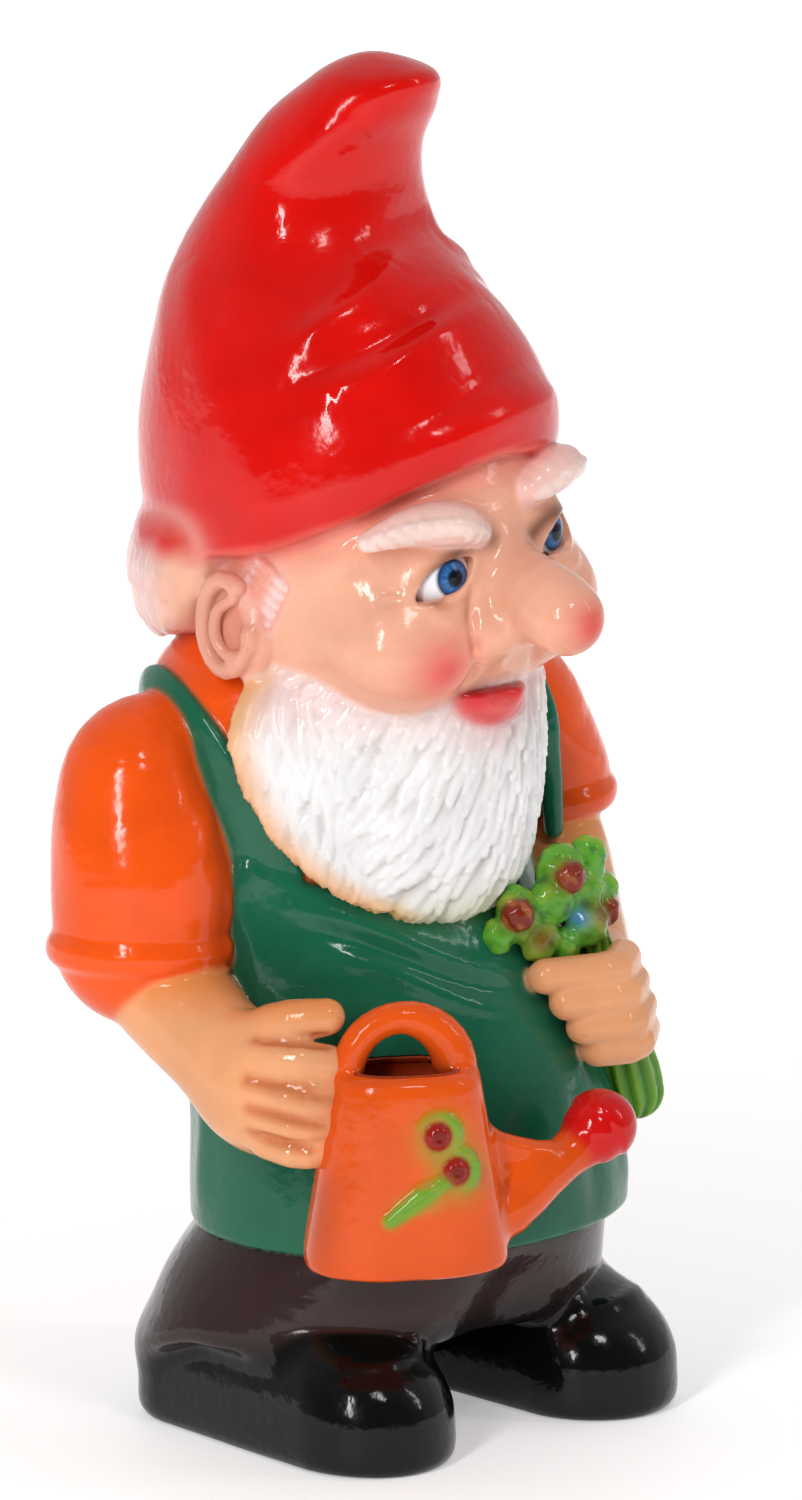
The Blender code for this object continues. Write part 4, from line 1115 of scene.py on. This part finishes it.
def finish_head(p, normals, weights, spray):
    """Folds of the hat, lines of the face, hair and beard, and their airbrushed colours, with painted shade in
    the creases of the face and between the locks of the beard.
    """
    forward, right = to_head(p[:, 0], p[:, 1])
    z = p[:, 2]
    turn = np.degrees(np.arctan2(-right, forward))
    over = z - rim_height(np.radians(turn))
    skin = weights["head"] + weights["ear_left"] + weights["ear_right"]
    brow = weights["eyebrow_left"] + weights["eyebrow_right"]
    crown, hair_part, white, lips = (weights[n] for n in ("hat", "hair", "beard", "mouth"))
    fold = np.zeros(len(p))
    strokes(fold, p, normals, HAT_FOLDS)
    fold += 0.35 * ripple(p, 26, 3)
    face = np.zeros(len(p))
    strokes(face, p, normals, FACE_LINES)
    hairy = locks(p, normals, beard_locks(), 3.0, 2.5)
    tuft = locks(p, normals, hair_locks(), 3.4, 1.5)
    brows = locks(p, normals, brow_locks(), 2.0, 1.1)
    strand = np.full(len(p), 9.0)
    for line in tufts():
        path = np.array([q[:3] for q in on_head(line)], np.float32)
        i = near_path(path, p, 6)
        strand[i] = np.minimum(strand[i], nearest_on(path, p[i])[0])
    # The hair and its strands.
    behind = step(122, 106, np.abs(turn)) * hair_part
    spray(FLESH, behind)
    spray(HAIR_PINK, hair_part * step(0.6, 0.1, tuft / 1.5) * (1 - behind) * 0.7)
    near_strand = skin + hair_part
    spray(STRAND_EDGE, near_strand * step(2.6, 1.5, strand) * 0.55)
    spray(STRAND_TOP, near_strand * step(1.5, 0.9, strand) * 0.9)
    # The forehead and the hat's soft edge.
    forehead = skin * step(2.0, 3.0, strand) * step(-16, 1, over)
    forehead = forehead * step(-4, 10, z - 226 + 0.12 * np.abs(right))
    spray(ROSY, 0.75 * forehead)
    spray(HAT_RED, (skin + hair_part) * step(-5, 3, over + 1.5 * ripple(p, 14, 5)))
    spray(HAT_PINK, crown * step(2.6, -2, over + 1.0 * ripple(p, 12, 8)))
    # Cheeks, nose, lids, and painted shade in the lid creases and the creases of the face.
    for side, height in ((1, 200.5), (-1, 206.5)):
        spray(BLUSH, skin * spot(p, head_place(46, 23 * side, height), (11, 11, 9.5)))
    spray(NOSE_RED, skin * spot(p, head_place(77, 0, 212), (8.5, 9, 8)))
    # The upper lids are brushed brown, partly as a lid line and partly as painted shade in the crease under the
    # brow.
    for side, h, roll in EYES.values():
        lid = []
        for f, r, rise in ((38, 28.0, 0), (45.5, 22.0, 5.2), (47.5, 14.0, 6.4), (48, 8.0, 5)):
            lid.append((f, r * side, h + rise + -0.8 * roll * (r - 19) * side))
        path = route(on_head(lid), 10)
        away, share, _ = nearest_on(path, p)
        spray(LID_LINE_AND_SHADE_BROWN, 0.8 * skin * np.exp(-((away / 2.3) ** 2)) * step(0, 0.3, share))
    # Painted shade along the creases beside the nose and under the near eye.
    for path in CREASE_SHADE_PATHS:
        away = nearest_on(route(on_head(path), 10), p)[0]
        spray(CREASE_SHADE_BROWN, 0.7 * skin * np.exp(-((away / 1.3) ** 2)))
    # The beard.
    spray(BEARD_SHADE, 0.6 * (white * step(0.8, 0.2, hairy / 2.5)))
    spray(BEARD_PINK, white * step(174, 194, z) * 0.7)
    spray(CHIN_PINK, white * spot(p, head_place(44, 2, 180), (14, 16, 6)) * 0.5)
    chest_turn = np.degrees(body_turn(p[:, 0], p[:, 1], np.clip(z, 120, 200)))
    edge = step(15, 1, beard_edge(z) + chest_turn) * step(-8, -22, chest_turn)
    spray(BEARD_RUST, white * edge * 0.8)
    spray(BEARD_GREEN, white * step(148, 134, z + 0.1 * np.abs(p[:, 0])) * 0.45)
    # Brows, ears and mouth.
    spray(BROW_PINK, brow * step(0.5, 0.1, brows / 0.7) * 0.5)
    for side in (1, -1):
        spray(EAR_RED, skin * spot(p, head_place(1, 51 * side, 208), (5, 5, 7)) * 0.4)
    spray(LIP_PINK, lips * spot(p, head_place(45, 0, 187.4), (11, 12, 3.0)) * 0.8)
    spray(LIP_DARK, lips * step(190.2, 192.0, z))
    lift = fold * crown + face * skin + (hairy - 0.9) * white
    return lift + tuft * (hair_part * step(0, -7, over) + 0.6 * skin) + brows * brow


def hat_point(turn, z):
    """A point on the hat, for a turn in degrees from its front towards the gnome's left."""
    a = radians(turn)
    low = float(rim_height(a))
    shift, sideways, wide, front, back = between(HAT, (z - low) / (HAT_TOP - low))
    deep = front if cos(a) > 0 else back
    return head_place(shift + deep * cos(a), sideways - wide * sin(a), z)


# Folds of the hat as (stops of (turn in degrees, height), width, height of the ridge).
HAT_FOLDS = [
    ([hat_point(*stop) for stop in stops], width, height)
    for stops, width, height in (
        ([(-58, 279), (-45, 284), (-28, 290), (-8, 297)], 4.0, 1.9),
        ([(-62, 271), (-45, 276), (-27, 281), (-8, 286), (12, 290)], 3.0, -1.3),
        ([(-50, 268), (-34, 273), (-18, 279), (2, 283), (22, 284)], 4.2, 2.0),
        ([(-40, 258), (-22, 264), (-4, 270), (16, 272), (36, 270)], 3.4, -1.2),
        ([(-30, 254), (-12, 259), (8, 263), (30, 262), (48, 258)], 4.5, 1.6),
        ([(-20, 300), (0, 303), (20, 304), (40, 300)], 5.0, -2.2),
        ([(30, 300), (55, 292), (80, 287), (105, 285)], 4.0, 1.6),
        ([(28, 291), (55, 281), (80, 276), (110, 275)], 3.6, -1.2),
        ([(150, 300), (175, 306), (205, 300)], 6.0, 1.5),
        ([(120, 280), (160, 287), (200, 284)], 6.0, -1.2),
        ([(-120, 318), (-70, 322), (-30, 330)], 5.0, 1.0),
        ([(-90, 262), (-100, 280), (-112, 296)], 7.0, 1.2),
        ([(-70, 250), (-76, 266), (-84, 284)], 7.0, -1.0),
    )
]
# Lines of the face as (places on the head, width, height).
FACE_LINES = [
    (on_head(path), width, height)
    for path, width, height in (
        ([(46, 13.5, 220), (46.5, 13.8, 213), (46, 12.4, 206), (45, 11.5, 199), (41, 14.6, 193)], 1.9, -2.4),
        ([(46, -13.0, 226), (46.5, -13.4, 219), (46, -12.0, 212), (45, -11, 203), (41, -14.0, 196)], 1.9, -2.4),
        ([(44, 26, 214), (46, 21, 212.5), (47, 16, 214)], 2.2, 0.9),
        ([(42, -27, 221), (45, -22, 219), (46, -16, 221)], 2.2, 0.9),
        ([(39, 29, 219), (36, 33, 220.5)], 1.0, -0.6),
        ([(39, 29.5, 217), (36, 33.5, 216)], 1.0, -0.6),
        ([(37, -28, 226), (34, -32, 227.5)], 1.0, -0.6),
        ([(37, -28.5, 224), (34, -32.5, 223)], 1.0, -0.6),
        ([(27, 38, 234), (36, 27, 242.5), (42, 12, 248), (47, -4, 251)], 1.3, -0.55),
        ([(25, 40, 231), (35, 29, 239.0), (42, 15, 245), (46, 0, 249)], 1.2, -0.45),
        ([(24, 41, 228), (31, 35, 234.0), (38, 25, 239)], 1.2, -0.4),
        ([(43, 10, 240), (45, 4, 239.5), (46, -2, 240)], 1.5, -0.5),
        ([(44, 9, 243), (46, 3, 243.5), (46, -4, 244)], 2.0, 0.6),
        ([(52, 7.5, 222), (51, 6.5, 228), (48, 6.0, 233)], 2.4, -0.4),
        ([(52, -7.5, 222), (51, -6.0, 229), (48, -5.5, 236)], 2.4, -0.4),
    )
]
# Painted shade in the creases beside the nose and under the near eye, as places on the head.
CREASE_SHADE_PATHS = [
    [(44, 28, 218.6), (46, 22, 216.2), (47, 16, 217.5)],
    [(46, 13.2, 218), (46.5, 13.8, 212), (46, 12.2, 205)],
    [(46, -13, 226), (46.5, -13.4, 219), (46, -12, 212)],
    [(45, 11.0, 199), (42, 13.0, 194)],
]


def hair_locks():
    """Locks that hang round the back of the head."""
    rng = np.random.default_rng(11)
    paths = []
    for degrees in np.arange(112, 249, 4.5):
        for start in (236, 226, 217, 208):
            a = radians(degrees + rng.uniform(-2, 2))
            lean = rng.uniform(-0.25, 0.25)
            grow = 5 + 10 * ((1 - cos(a)) / 2) ** 1.5
            path = []
            for i in range(5):
                h = start - i * 3.2
                shift, wide, deep = between(HEAD, max(h, 186))
                spread = a + lean * i * 3.2 / 50
                path.append(head_place(shift + (deep + grow) * cos(spread), -(wide + grow) * sin(spread), h))
            paths.append(np.array(path, np.float32))
    return paths


def brow_locks():
    paths = []
    for points in BROWS.values():
        side = 1 if points[0][1] > 0 else -1
        for f, r, h, size in route(points, 9):
            start = (f + size * 0.9, r - 1.5 * side, h - 1.5)
            end = (f + size * 0.5, r + 4.5 * side, h + 1.0)
            middle = tuple((a + b) / 2 for a, b in zip(start, end))
            paths.append(np.array(on_head([start, middle, end]), np.float32))
    return paths


def on_cloth(stops):
    return [tuple(body_point(radians(turn), z, CLOTH)) for turn, z in stops]


# Creases between the fingers of the fist, and behind the thumb.
HAND_LINES = [
    [(-73, -25, 102), (-69, -35, 101), (-62, -42.5, 98.5)],
    [(-74, -26, 95.5), (-70, -35, 94), (-64, -42, 92)],
    [(-74, -26, 89), (-70, -34, 87.5), (-66, -39, 85.8)],
    [(-70, -24, 111), (-66, -32, 110.5), (-60, -38, 111)],
]
# Folds of the apron as (stops of (turn in degrees, height), width, height of the ridge).
CLOTH_FOLDS = [
    (on_cloth(stops), width, height)
    for stops, width, height in (
        ([(-52, 139), (-34, 135), (-14, 126), (2, 120), (12, 117)], 2.6, 1.5),
        ([(-50, 133), (-34, 129), (-14, 120), (2, 114)], 2.2, -0.9),
        ([(-46, 128), (-28, 123), (-10, 114), (6, 109)], 3.0, 1.0),
        ([(-66, 148), (-70, 138), (-68, 126), (-72, 112)], 3.0, 1.4),
        ([(-58, 94), (-57, 78), (-60, 58)], 4.0, 1.3),
        ([(-70, 90), (-70, 74), (-72, 56)], 4.0, -1.0),
        ([(-30, 92), (-28, 76), (-30, 56)], 5.0, 1.0),
        ([(20, 90), (22, 74), (20, 55)], 5.0, -1.0),
        ([(40, 96), (42, 78), (44, 56)], 5.0, 1.2),
        ([(62, 92), (66, 76), (68, 56)], 4.5, -1.0),
        ([(84, 94), (88, 78), (92, 58)], 5.0, 1.2),
        ([(130, 92), (134, 76), (138, 57)], 5.5, 1.1),
        ([(165, 92), (166, 76), (166, 57)], 5.5, -1.0),
        ([(196, 92), (194, 76), (192, 57)], 5.5, 1.1),
        ([(228, 92), (224, 76), (222, 57)], 5.5, -1.0),
        ([(256, 92), (254, 76), (252, 57)], 5.0, 1.0),
    )
]
# Folds of the sleeves and the trouser hems, as (places, width, height of the ridge).
CLOTH_FOLDS += [
    ([(-52, 20, 168), (-64, 4, 158), (-74, 2, 146)], 4.0, 0.9),
    ([(-50, 40, 176), (-66, 44, 164), (-76, 40, 150)], 4.0, 0.8),
    ([(-88, 16, 136), (-90, 22, 150), (-84, 26, 166)], 6.0, 0.8),
    ([(50, 4, 170), (62, 4, 160), (74, 8, 152)], 3.5, 0.8),
    ([(-60, -40, 33), (-40, -44, 32), (-18, -42, 34)], 3.0, 1.4),
    ([(-62, -36, 27), (-40, -41, 26), (-18, -39, 28)], 2.6, -0.8),
    ([(18, -42, 34), (40, -42, 33), (60, -32, 34)], 3.0, 1.2),
    ([(-30, 58, 34), (0, 62, 33), (30, 58, 34)], 3.5, 1.2),
]
BOOT_BLACK, TROUSER_HIGHLIGHT_BROWN, RAW_PLASTIC = (0.006, 0.005, 0.005), (0.075, 0.038, 0.032), (0.50, 0.40, 0.31)
FINGER_CREASE_SHADE, KNUCKLE_ORANGE_AND_SHADE = (0.50, 0.10, 0.02), (0.70, 0.16, 0.03)
RIGHT_ARM_ORANGE, LEFT_ARM_ORANGE = (0.74, 0.22, 0.04), (0.74, 0.26, 0.05)
SHIRT_SHADE, SHIRT_UNDERSIDE_SHADE, SHIRT_YELLOW = (0.42, 0.042, 0.006), (0.62, 0.035, 0.006), (0.80, 0.30, 0.04)
CUFF_PALE, APRON_OLIVE, APRON_SHADE = (0.84, 0.30, 0.09), (0.10, 0.20, 0.04), (0.004, 0.05, 0.03)


def finish_trunk(p, normals, weights, spray):
    """Folds of the clothes, creases of the fist, and their airbrushed colours, among them painted shade in
    creases and undersides and a painted highlight on the trousers.
    """
    x, y, z = p.T
    shirt, green, legs = (weights[n] for n in ("shirt_body", "apron", "trousers"))
    orange = sum(weights[n] for n in ("shirt_body", "sleeve_left", "sleeve_right", "cuff_left", "cuff_right"))
    hands = weights["hand_left"] + weights["hand_right"]
    lift = np.zeros(len(p))
    strokes(lift, p, normals, CLOTH_FOLDS)
    lift += 0.25 * ripple(p, 30, 2)
    strokes(lift, p, normals, [(path, 1.3, -1.5) for path in HAND_LINES])
    # The trousers darken towards the boots, a lighter brown patch on their front right is a painted highlight,
    # and the hole is bare plastic inside.
    spray(BOOT_BLACK, legs * step(38, 25, z + 0.2 * (y + 30)))
    spray(TROUSER_HIGHLIGHT_BROWN, legs * spot(p, (-40, -38, 36), (30, 20, 5)) * 0.6)
    from_axis = np.hypot(x - FILLER[0], y - FILLER[1])
    spray(RAW_PLASTIC, step(14.2, 13.6, from_axis) * step(11.5, 12.5, z) * step(40, 38, z))
    # The hands and forearms.
    # Painted shade in the creases between the fingers and behind the thumb.
    for path in HAND_LINES:
        i, away, _ = over_skin(np.array(path, np.float32), p, normals, 7.0)
        shade = np.zeros(len(p))
        shade[i] = np.exp(-((away / 1.6) ** 2)) * 0.7
        spray(FINGER_CREASE_SHADE, hands * shade)
    spray(RIGHT_ARM_ORANGE, hands * step(112, 124, z) * (x < 0) * 0.8)
    spray(LEFT_ARM_ORANGE, hands * step(130, 141, z) * (x > 0) * 0.7)
    # Deeper orange below the thumb: partly the hand's own paint, partly painted shade under the thumb.
    spray(KNUCKLE_ORANGE_AND_SHADE, hands * spot(p, (-50, -36, 107), (8, 10, 6)) * 0.6)
    # The shirt and the apron.
    inner_arm = spot(p, (-54, -4, 136), (14, 14, 24)) + spot(p, (54, 0, 150), (10, 10, 16))
    spray(SHIRT_SHADE, orange * inner_arm * 0.7)
    turned_up = weights["cuff_right"] * step(125, 118, z) + weights["cuff_left"] * step(145, 139, z)
    spray(CUFF_PALE, turned_up * 0.6)
    spray(SHIRT_YELLOW, shirt * spot(p, (-24, -22, 160), (30, 26, 40)) * 0.6)
    # Painted shade on the downward-facing undersides of the shirt and sleeves, high up.
    spray(SHIRT_UNDERSIDE_SHADE, orange * step(20, 44, z - 110) * step(0.2, 0.8, -normals[:, 2]) * 0.5)
    spray(APRON_OLIVE, green * spot(p, (-8, -34, 136), (26, 12, 6)) * 0.6)
    spray(APRON_SHADE, green * spot(p, (-60, -6, 120), (16, 16, 22)) * 0.6)
    return lift


LEAF_GREEN, STALK_OLIVE, LEAF_RUST = (0.16, 0.34, 0.03), (0.30, 0.34, 0.03), (0.66, 0.16, 0.05)
PETAL_EDGE, ROSE_RED = (0.34, 0.012, 0.008), (0.60, 0.006, 0.006)
CAN_INSIDE_SHADE, CAN_SHADE = (0.20, 0.022, 0.006), (0.36, 0.05, 0.01)


def finish_can(p, normals, weights, spray):
    """Airbrushed flowers, a soft edge to the rose, a groove, and painted shade in the sunk top and beside the
    hand.
    """
    body, leaf = weights["can_body"], weights["can_leaf"]
    lift = 0.12 * ripple(p, 12, 4)
    strokes(lift, p, normals, [([can_place(7, 17, 78), can_place(-6, 17.5, 70)], 0.9, -0.8)])
    for along, height in CAN_BLOOMS.values():
        spray(LEAF_GREEN, body * spot(p, can_place(along + 1, 13, height - 1), (7.5, 7.5, 7)))
    spray(STALK_OLIVE, body * spot(p, can_place(1, 14, 74), (6.5, 6.5, 3.0)) * 0.8)
    spray(LEAF_RUST, leaf * step(0.1, 0.9, ripple(p, 7, 6)) * 0.7)
    for name, (along, height) in CAN_BLOOMS.items():
        petal = weights[name]
        away = np.linalg.norm(p - can_place(along, 16.4, height), axis=1)
        lift -= petal * 0.7 * step(1.8, 0.6, away)
        spray(PETAL_EDGE, petal * step(1.4, 2.6, away))
    spout = weights["can_spout"] + weights["can_spout_brace"]
    spray(ROSE_RED, spout * spot(p, can_place(51, -16.5, 82), (10, 10, 10)))
    # Painted shade inside the sunk top, and beside the hand.
    sunk = body * step(-1.0, -3.0, can_side(*p.T)) * step(98, 100, p[:, 2])
    spray(CAN_INSIDE_SHADE, sunk * 0.85)
    spray(CAN_SHADE, body * spot(p, can_place(-20, 6, 66), (7, 9, 22)) * 0.6)
    return lift


LEAF_PAINTED_LIGHT, LEAF_PAINTED_SHADE, DAB_BLUE = (0.28, 0.40, 0.04), (0.02, 0.12, 0.02), (0.05, 0.22, 0.42)
BLOOM_BROWN, BLOOM_LIGHT = (0.20, 0.02, 0.008), (0.34, 0.10, 0.03)
STEM_PAINTED_SHADE, STEM_PAINTED_LIGHT = (0.03, 0.14, 0.01), (0.26, 0.42, 0.05)


def finish_posy(p, normals, weights, spray):
    """Leafy lumps with brown-red blooms, a blue dab and ribbed stems, with painted light on raised parts and
    painted shade in hollows.
    """
    green, stem = weights["posy_leaves"], weights["posy_stems"]
    fine = ripple(p, 6.5, 12)
    lift = green * (0.7 * fine + 0.35 * ripple(p, 3.2, 13))
    # Painted light on the raised ripples of the leaves, and painted shade in their hollows.
    spray(LEAF_PAINTED_LIGHT, green * step(0.0, 0.8, fine) * 0.8)
    spray(LEAF_PAINTED_SHADE, green * step(-0.1, -0.7, fine) * 0.8)
    for place in ((20, -39, 141), (3, -38, 134.6), (32, -38, 129), (12, -39, 126)):
        spray(BLOOM_BROWN, green * spot(p, place, (6, 6, 5)) * 0.8)
    spray(DAB_BLUE, green * spot(p, (25, -38, 129.5), (3.2, 5, 3.2)))
    for name in POSY_BLOOMS:
        petal = weights[name]
        lift += petal * 0.5 * ripple(p, 3.6, 14)
        spray(BLOOM_LIGHT, petal * step(0.1, 0.7, ripple(p, 4.0, 15)))
    off = nearest_on([q[:3] for q in STEMS], p)[2]
    rib = np.cos(np.arctan2(off[:, 0], off[:, 1]) * 11 + 0.05 * p[:, 2])
    lift += stem * 0.45 * rib
    # Painted shade in the grooves between the stem ribs, and painted light on the ribs.
    spray(STEM_PAINTED_SHADE, stem * step(-0.2, -0.9, rib) * 0.7)
    spray(STEM_PAINTED_LIGHT, stem * step(0.4, 1.0, rib) * 0.5)
    return lift


# Each group's sample spacing, in millimetres, suits its finest detail.
build(trunk_group(), 0.9 * FINE, finish_trunk)
build(head_group(), 0.7 * FINE, finish_head)
build(can_group(), 0.6 * FINE, finish_can)
build(posy_group(), 0.5 * FINE, finish_posy)


def ring_faces(rows, sides):
    """Quads between rows of points that each go round once."""
    i = np.arange(rows - 1)[:, None] * sides
    j = np.arange(sides)[None, :]
    k = (j + 1) % sides
    return np.stack([i + j, i + k, i + sides + k, i + sides + j], -1).reshape(-1, 4)


def coat(name, count):
    """The piece's plain paint on each of its points."""
    colours = np.ones((count, 4), np.float32)
    colours[:, :3] = PAINT[name]
    return colours


EYE_RIM, PUPIL = (0.008, 0.022, 0.07), (0.003, 0.005, 0.010)
IRIS_DARK, IRIS_LIGHT = (0.018, 0.085, 0.26), (0.06, 0.22, 0.48)


def make_eye(name):
    """An eyeball with a painted iris."""
    rings, sides = 56, 80
    gaze = HEAD_TURN - radians(9) * EYES[name][0]
    out = np.array([sin(gaze), -cos(gaze), 0.07])
    across = np.array([cos(gaze), sin(gaze), 0])
    up = np.cross(out, across) * -1
    a = np.linspace(0.0, pi, rings)[:, None]
    b = np.linspace(0, 2 * pi, sides, endpoint=False)[None, :]
    fore, u, v = np.cos(a) + 0 * b, np.sin(a) * np.cos(b), np.sin(a) * np.sin(b)
    radius = EYEBALL + 0.5 * np.exp(-((a / 0.5) ** 2)) + 0 * b
    p = np.array(eye_middle(name))
    for share, axis in ((fore, out), (u, across), (v, up)):
        p = p + (share * radius)[..., None] * axis
    p = p.reshape(-1, 3)
    turn, away = (np.broadcast_to(q, u.shape).ravel() for q in (b, a))
    away = away * EYEBALL
    spokes = 0.5 + 0.5 * np.sin(turn * 17 + 2 * np.sin(turn * 5))
    colours = coat(name, len(p))
    mix(colours, EYE_RIM, step(5.3, 4.7, away))
    mix(colours, IRIS_DARK, step(4.7, 3.7, away))
    mix(colours, IRIS_LIGHT, step(4.0, 3.0, away) * spokes * 0.6)
    mix(colours, PUPIL, step(2.4, 1.9, away))
    add_piece(name, to_row(p), ring_faces(rings, sides), None, colours)


for eye in EYES:
    make_eye(eye)


PLUG_WORN = (0.09, 0.085, 0.08)


def make_plug():
    """A ribbed soft plug with a thin lip, turned about its own axis."""
    low, high = np.array(PLUG_LOW) * TO_MM, np.array(PLUG_HIGH) * TO_MM
    cx, cy = (low[0] + high[0]) / 2, (low[1] + high[1]) / 2
    lip = (high[0] - low[0]) / 2
    base, top = low[2], high[2]
    # The middle, out to the lip, up the plug's wall, then down inside the wall, as (radius, height).
    outline = [(0, base + 1.0), (6, base + 1.0), (6.8, base + 0.2)]
    for inward, rise in (
        (1.2, 0), (0.3, 0.4), (0, 1.2), (0.2, 2.4), (0.8, 2.8), (4.0, 2.85), (4.6, 3.2), (4.5, 8.6), (5.0, 9.4),
    ):
        outline.append((lip - inward, base + rise))
    outline += [(lip - 5.8, top - 0.1), (lip - 7.4, top), (lip - 7.7, top - 0.6)]
    outline += [(lip - 7.7, base + 3.4), (lip - 8.2, base + 2.7), (0, base + 2.5)]
    outline = np.array(outline)
    sides = 96
    turn = np.linspace(0, 2 * pi, sides, endpoint=False)
    radius, z = outline[:, :1], outline[:, 1:]
    points = np.stack([cx + radius * np.cos(turn), cy + radius * np.sin(turn), z + 0 * turn], -1).reshape(-1, 3)
    colours = coat("filler_plug", len(points))
    mix(colours, PLUG_WORN, step(0.2, 0.9, ripple(points, 9, 21)) * 0.5)
    add_piece("filler_plug", points * TO_METRES, ring_faces(len(outline), sides), None, colours)


make_plug()

# ---------------------------------------------------------------- camera, light and floor


def direction(azimuth, elevation):
    """From the figure towards a viewer: azimuth 0 is in front, and grows towards the gnome's left."""
    return Vector((sin(azimuth) * cos(elevation), -cos(azimuth) * cos(elevation), sin(elevation)))


AZIMUTH, ELEVATION, DISTANCE = radians(-42), radians(13), 3.0
AIM = Vector((0.0019, 0.0, 0.170))
WHITE = (1, 1, 1, 1)


def make_floor():
    """A white floor that glows more strongly away from the figure."""
    bpy.ops.mesh.primitive_plane_add(size=8.0, location=(0, 0, -0.0002))
    floor = bpy.context.object
    floor.name = "floor"
    made = bpy.data.materials.new("floor")
    made.use_nodes = True
    tree = made.node_tree
    shader = tree.nodes["Principled BSDF"]
    shader.inputs["Base Color"].default_value = (0.9, 0.9, 0.9, 1)
    shader.inputs["Roughness"].default_value = 0.6
    floor.data.materials.append(made)
    place = tree.nodes.new("ShaderNodeTexCoord")
    away = tree.nodes.new("ShaderNodeVectorMath")
    away.operation = "LENGTH"
    tree.links.new(place.outputs["Object"], away.inputs[0])
    glow = ramp(tree, away.outputs["Value"], 0.10, 0.9, 0.36, 0.8)
    shader.inputs["Emission Color"].default_value = WHITE
    tree.links.new(glow.outputs["Result"], shader.inputs["Emission Strength"])


def make_world():
    """A backdrop that dims from behind the figure towards the front, and looks white all round."""
    world = bpy.data.worlds.new("studio")
    world.use_nodes = True
    tree = world.node_tree
    place = tree.nodes.new("ShaderNodeTexCoord")
    toward = tree.nodes.new("ShaderNodeVectorMath")
    toward.operation = "DOT_PRODUCT"
    toward.inputs[1].default_value = (-sin(AZIMUTH), cos(AZIMUTH), 0.15)
    tree.links.new(place.outputs["Generated"], toward.inputs[0])
    fade = ramp(tree, toward.outputs["Value"], -0.7, 0.9, 0.08, 0.75)
    fade.interpolation_type = "SMOOTHSTEP"
    seen = tree.nodes.new("ShaderNodeLightPath")
    strength = tree.nodes.new("ShaderNodeMath")
    strength.operation = "MAXIMUM"
    tree.links.new(seen.outputs["Is Camera Ray"], strength.inputs[0])
    tree.links.new(fade.outputs["Result"], strength.inputs[1])
    sky = tree.nodes["Background"]
    sky.inputs["Color"].default_value = WHITE
    tree.links.new(strength.outputs["Value"], sky.inputs["Strength"])
    bpy.context.scene.world = world


def make_camera():
    data = bpy.data.cameras.new("camera")
    data.lens = 288
    data.sensor_fit = "VERTICAL"
    data.sensor_height = 36
    camera = bpy.data.objects.new("camera", data)
    back = direction(AZIMUTH, ELEVATION)
    camera.location = AIM + back * DISTANCE
    camera.rotation_euler = back.to_track_quat("Z", "Y").to_euler()
    link(camera)
    bpy.context.scene.camera = camera


def place_light(name, azimuth, elevation, distance, size, power):
    """A soft panel that looks at the figure from a direction, in degrees as for the camera."""
    data = bpy.data.lights.new(name, "AREA")
    data.shape = "RECTANGLE"
    data.size, data.size_y = size
    data.energy = power
    light = bpy.data.objects.new(name, data)
    light.location = AIM + direction(radians(azimuth), radians(elevation)) * distance
    light.rotation_euler = (AIM - light.location).to_track_quat("-Z", "Y").to_euler()
    link(light)


make_floor()
make_world()
make_camera()
place_light("key", -66, 26, 1.6, (0.13, 0.80), 12.5)
place_light("front", -18, 48, 1.7, (0.22, 0.22), 4.2)
place_light("side", 40, 30, 1.8, (0.10, 0.8), 3.0)
bpy.context.scene.view_settings.view_transform = "Standard"
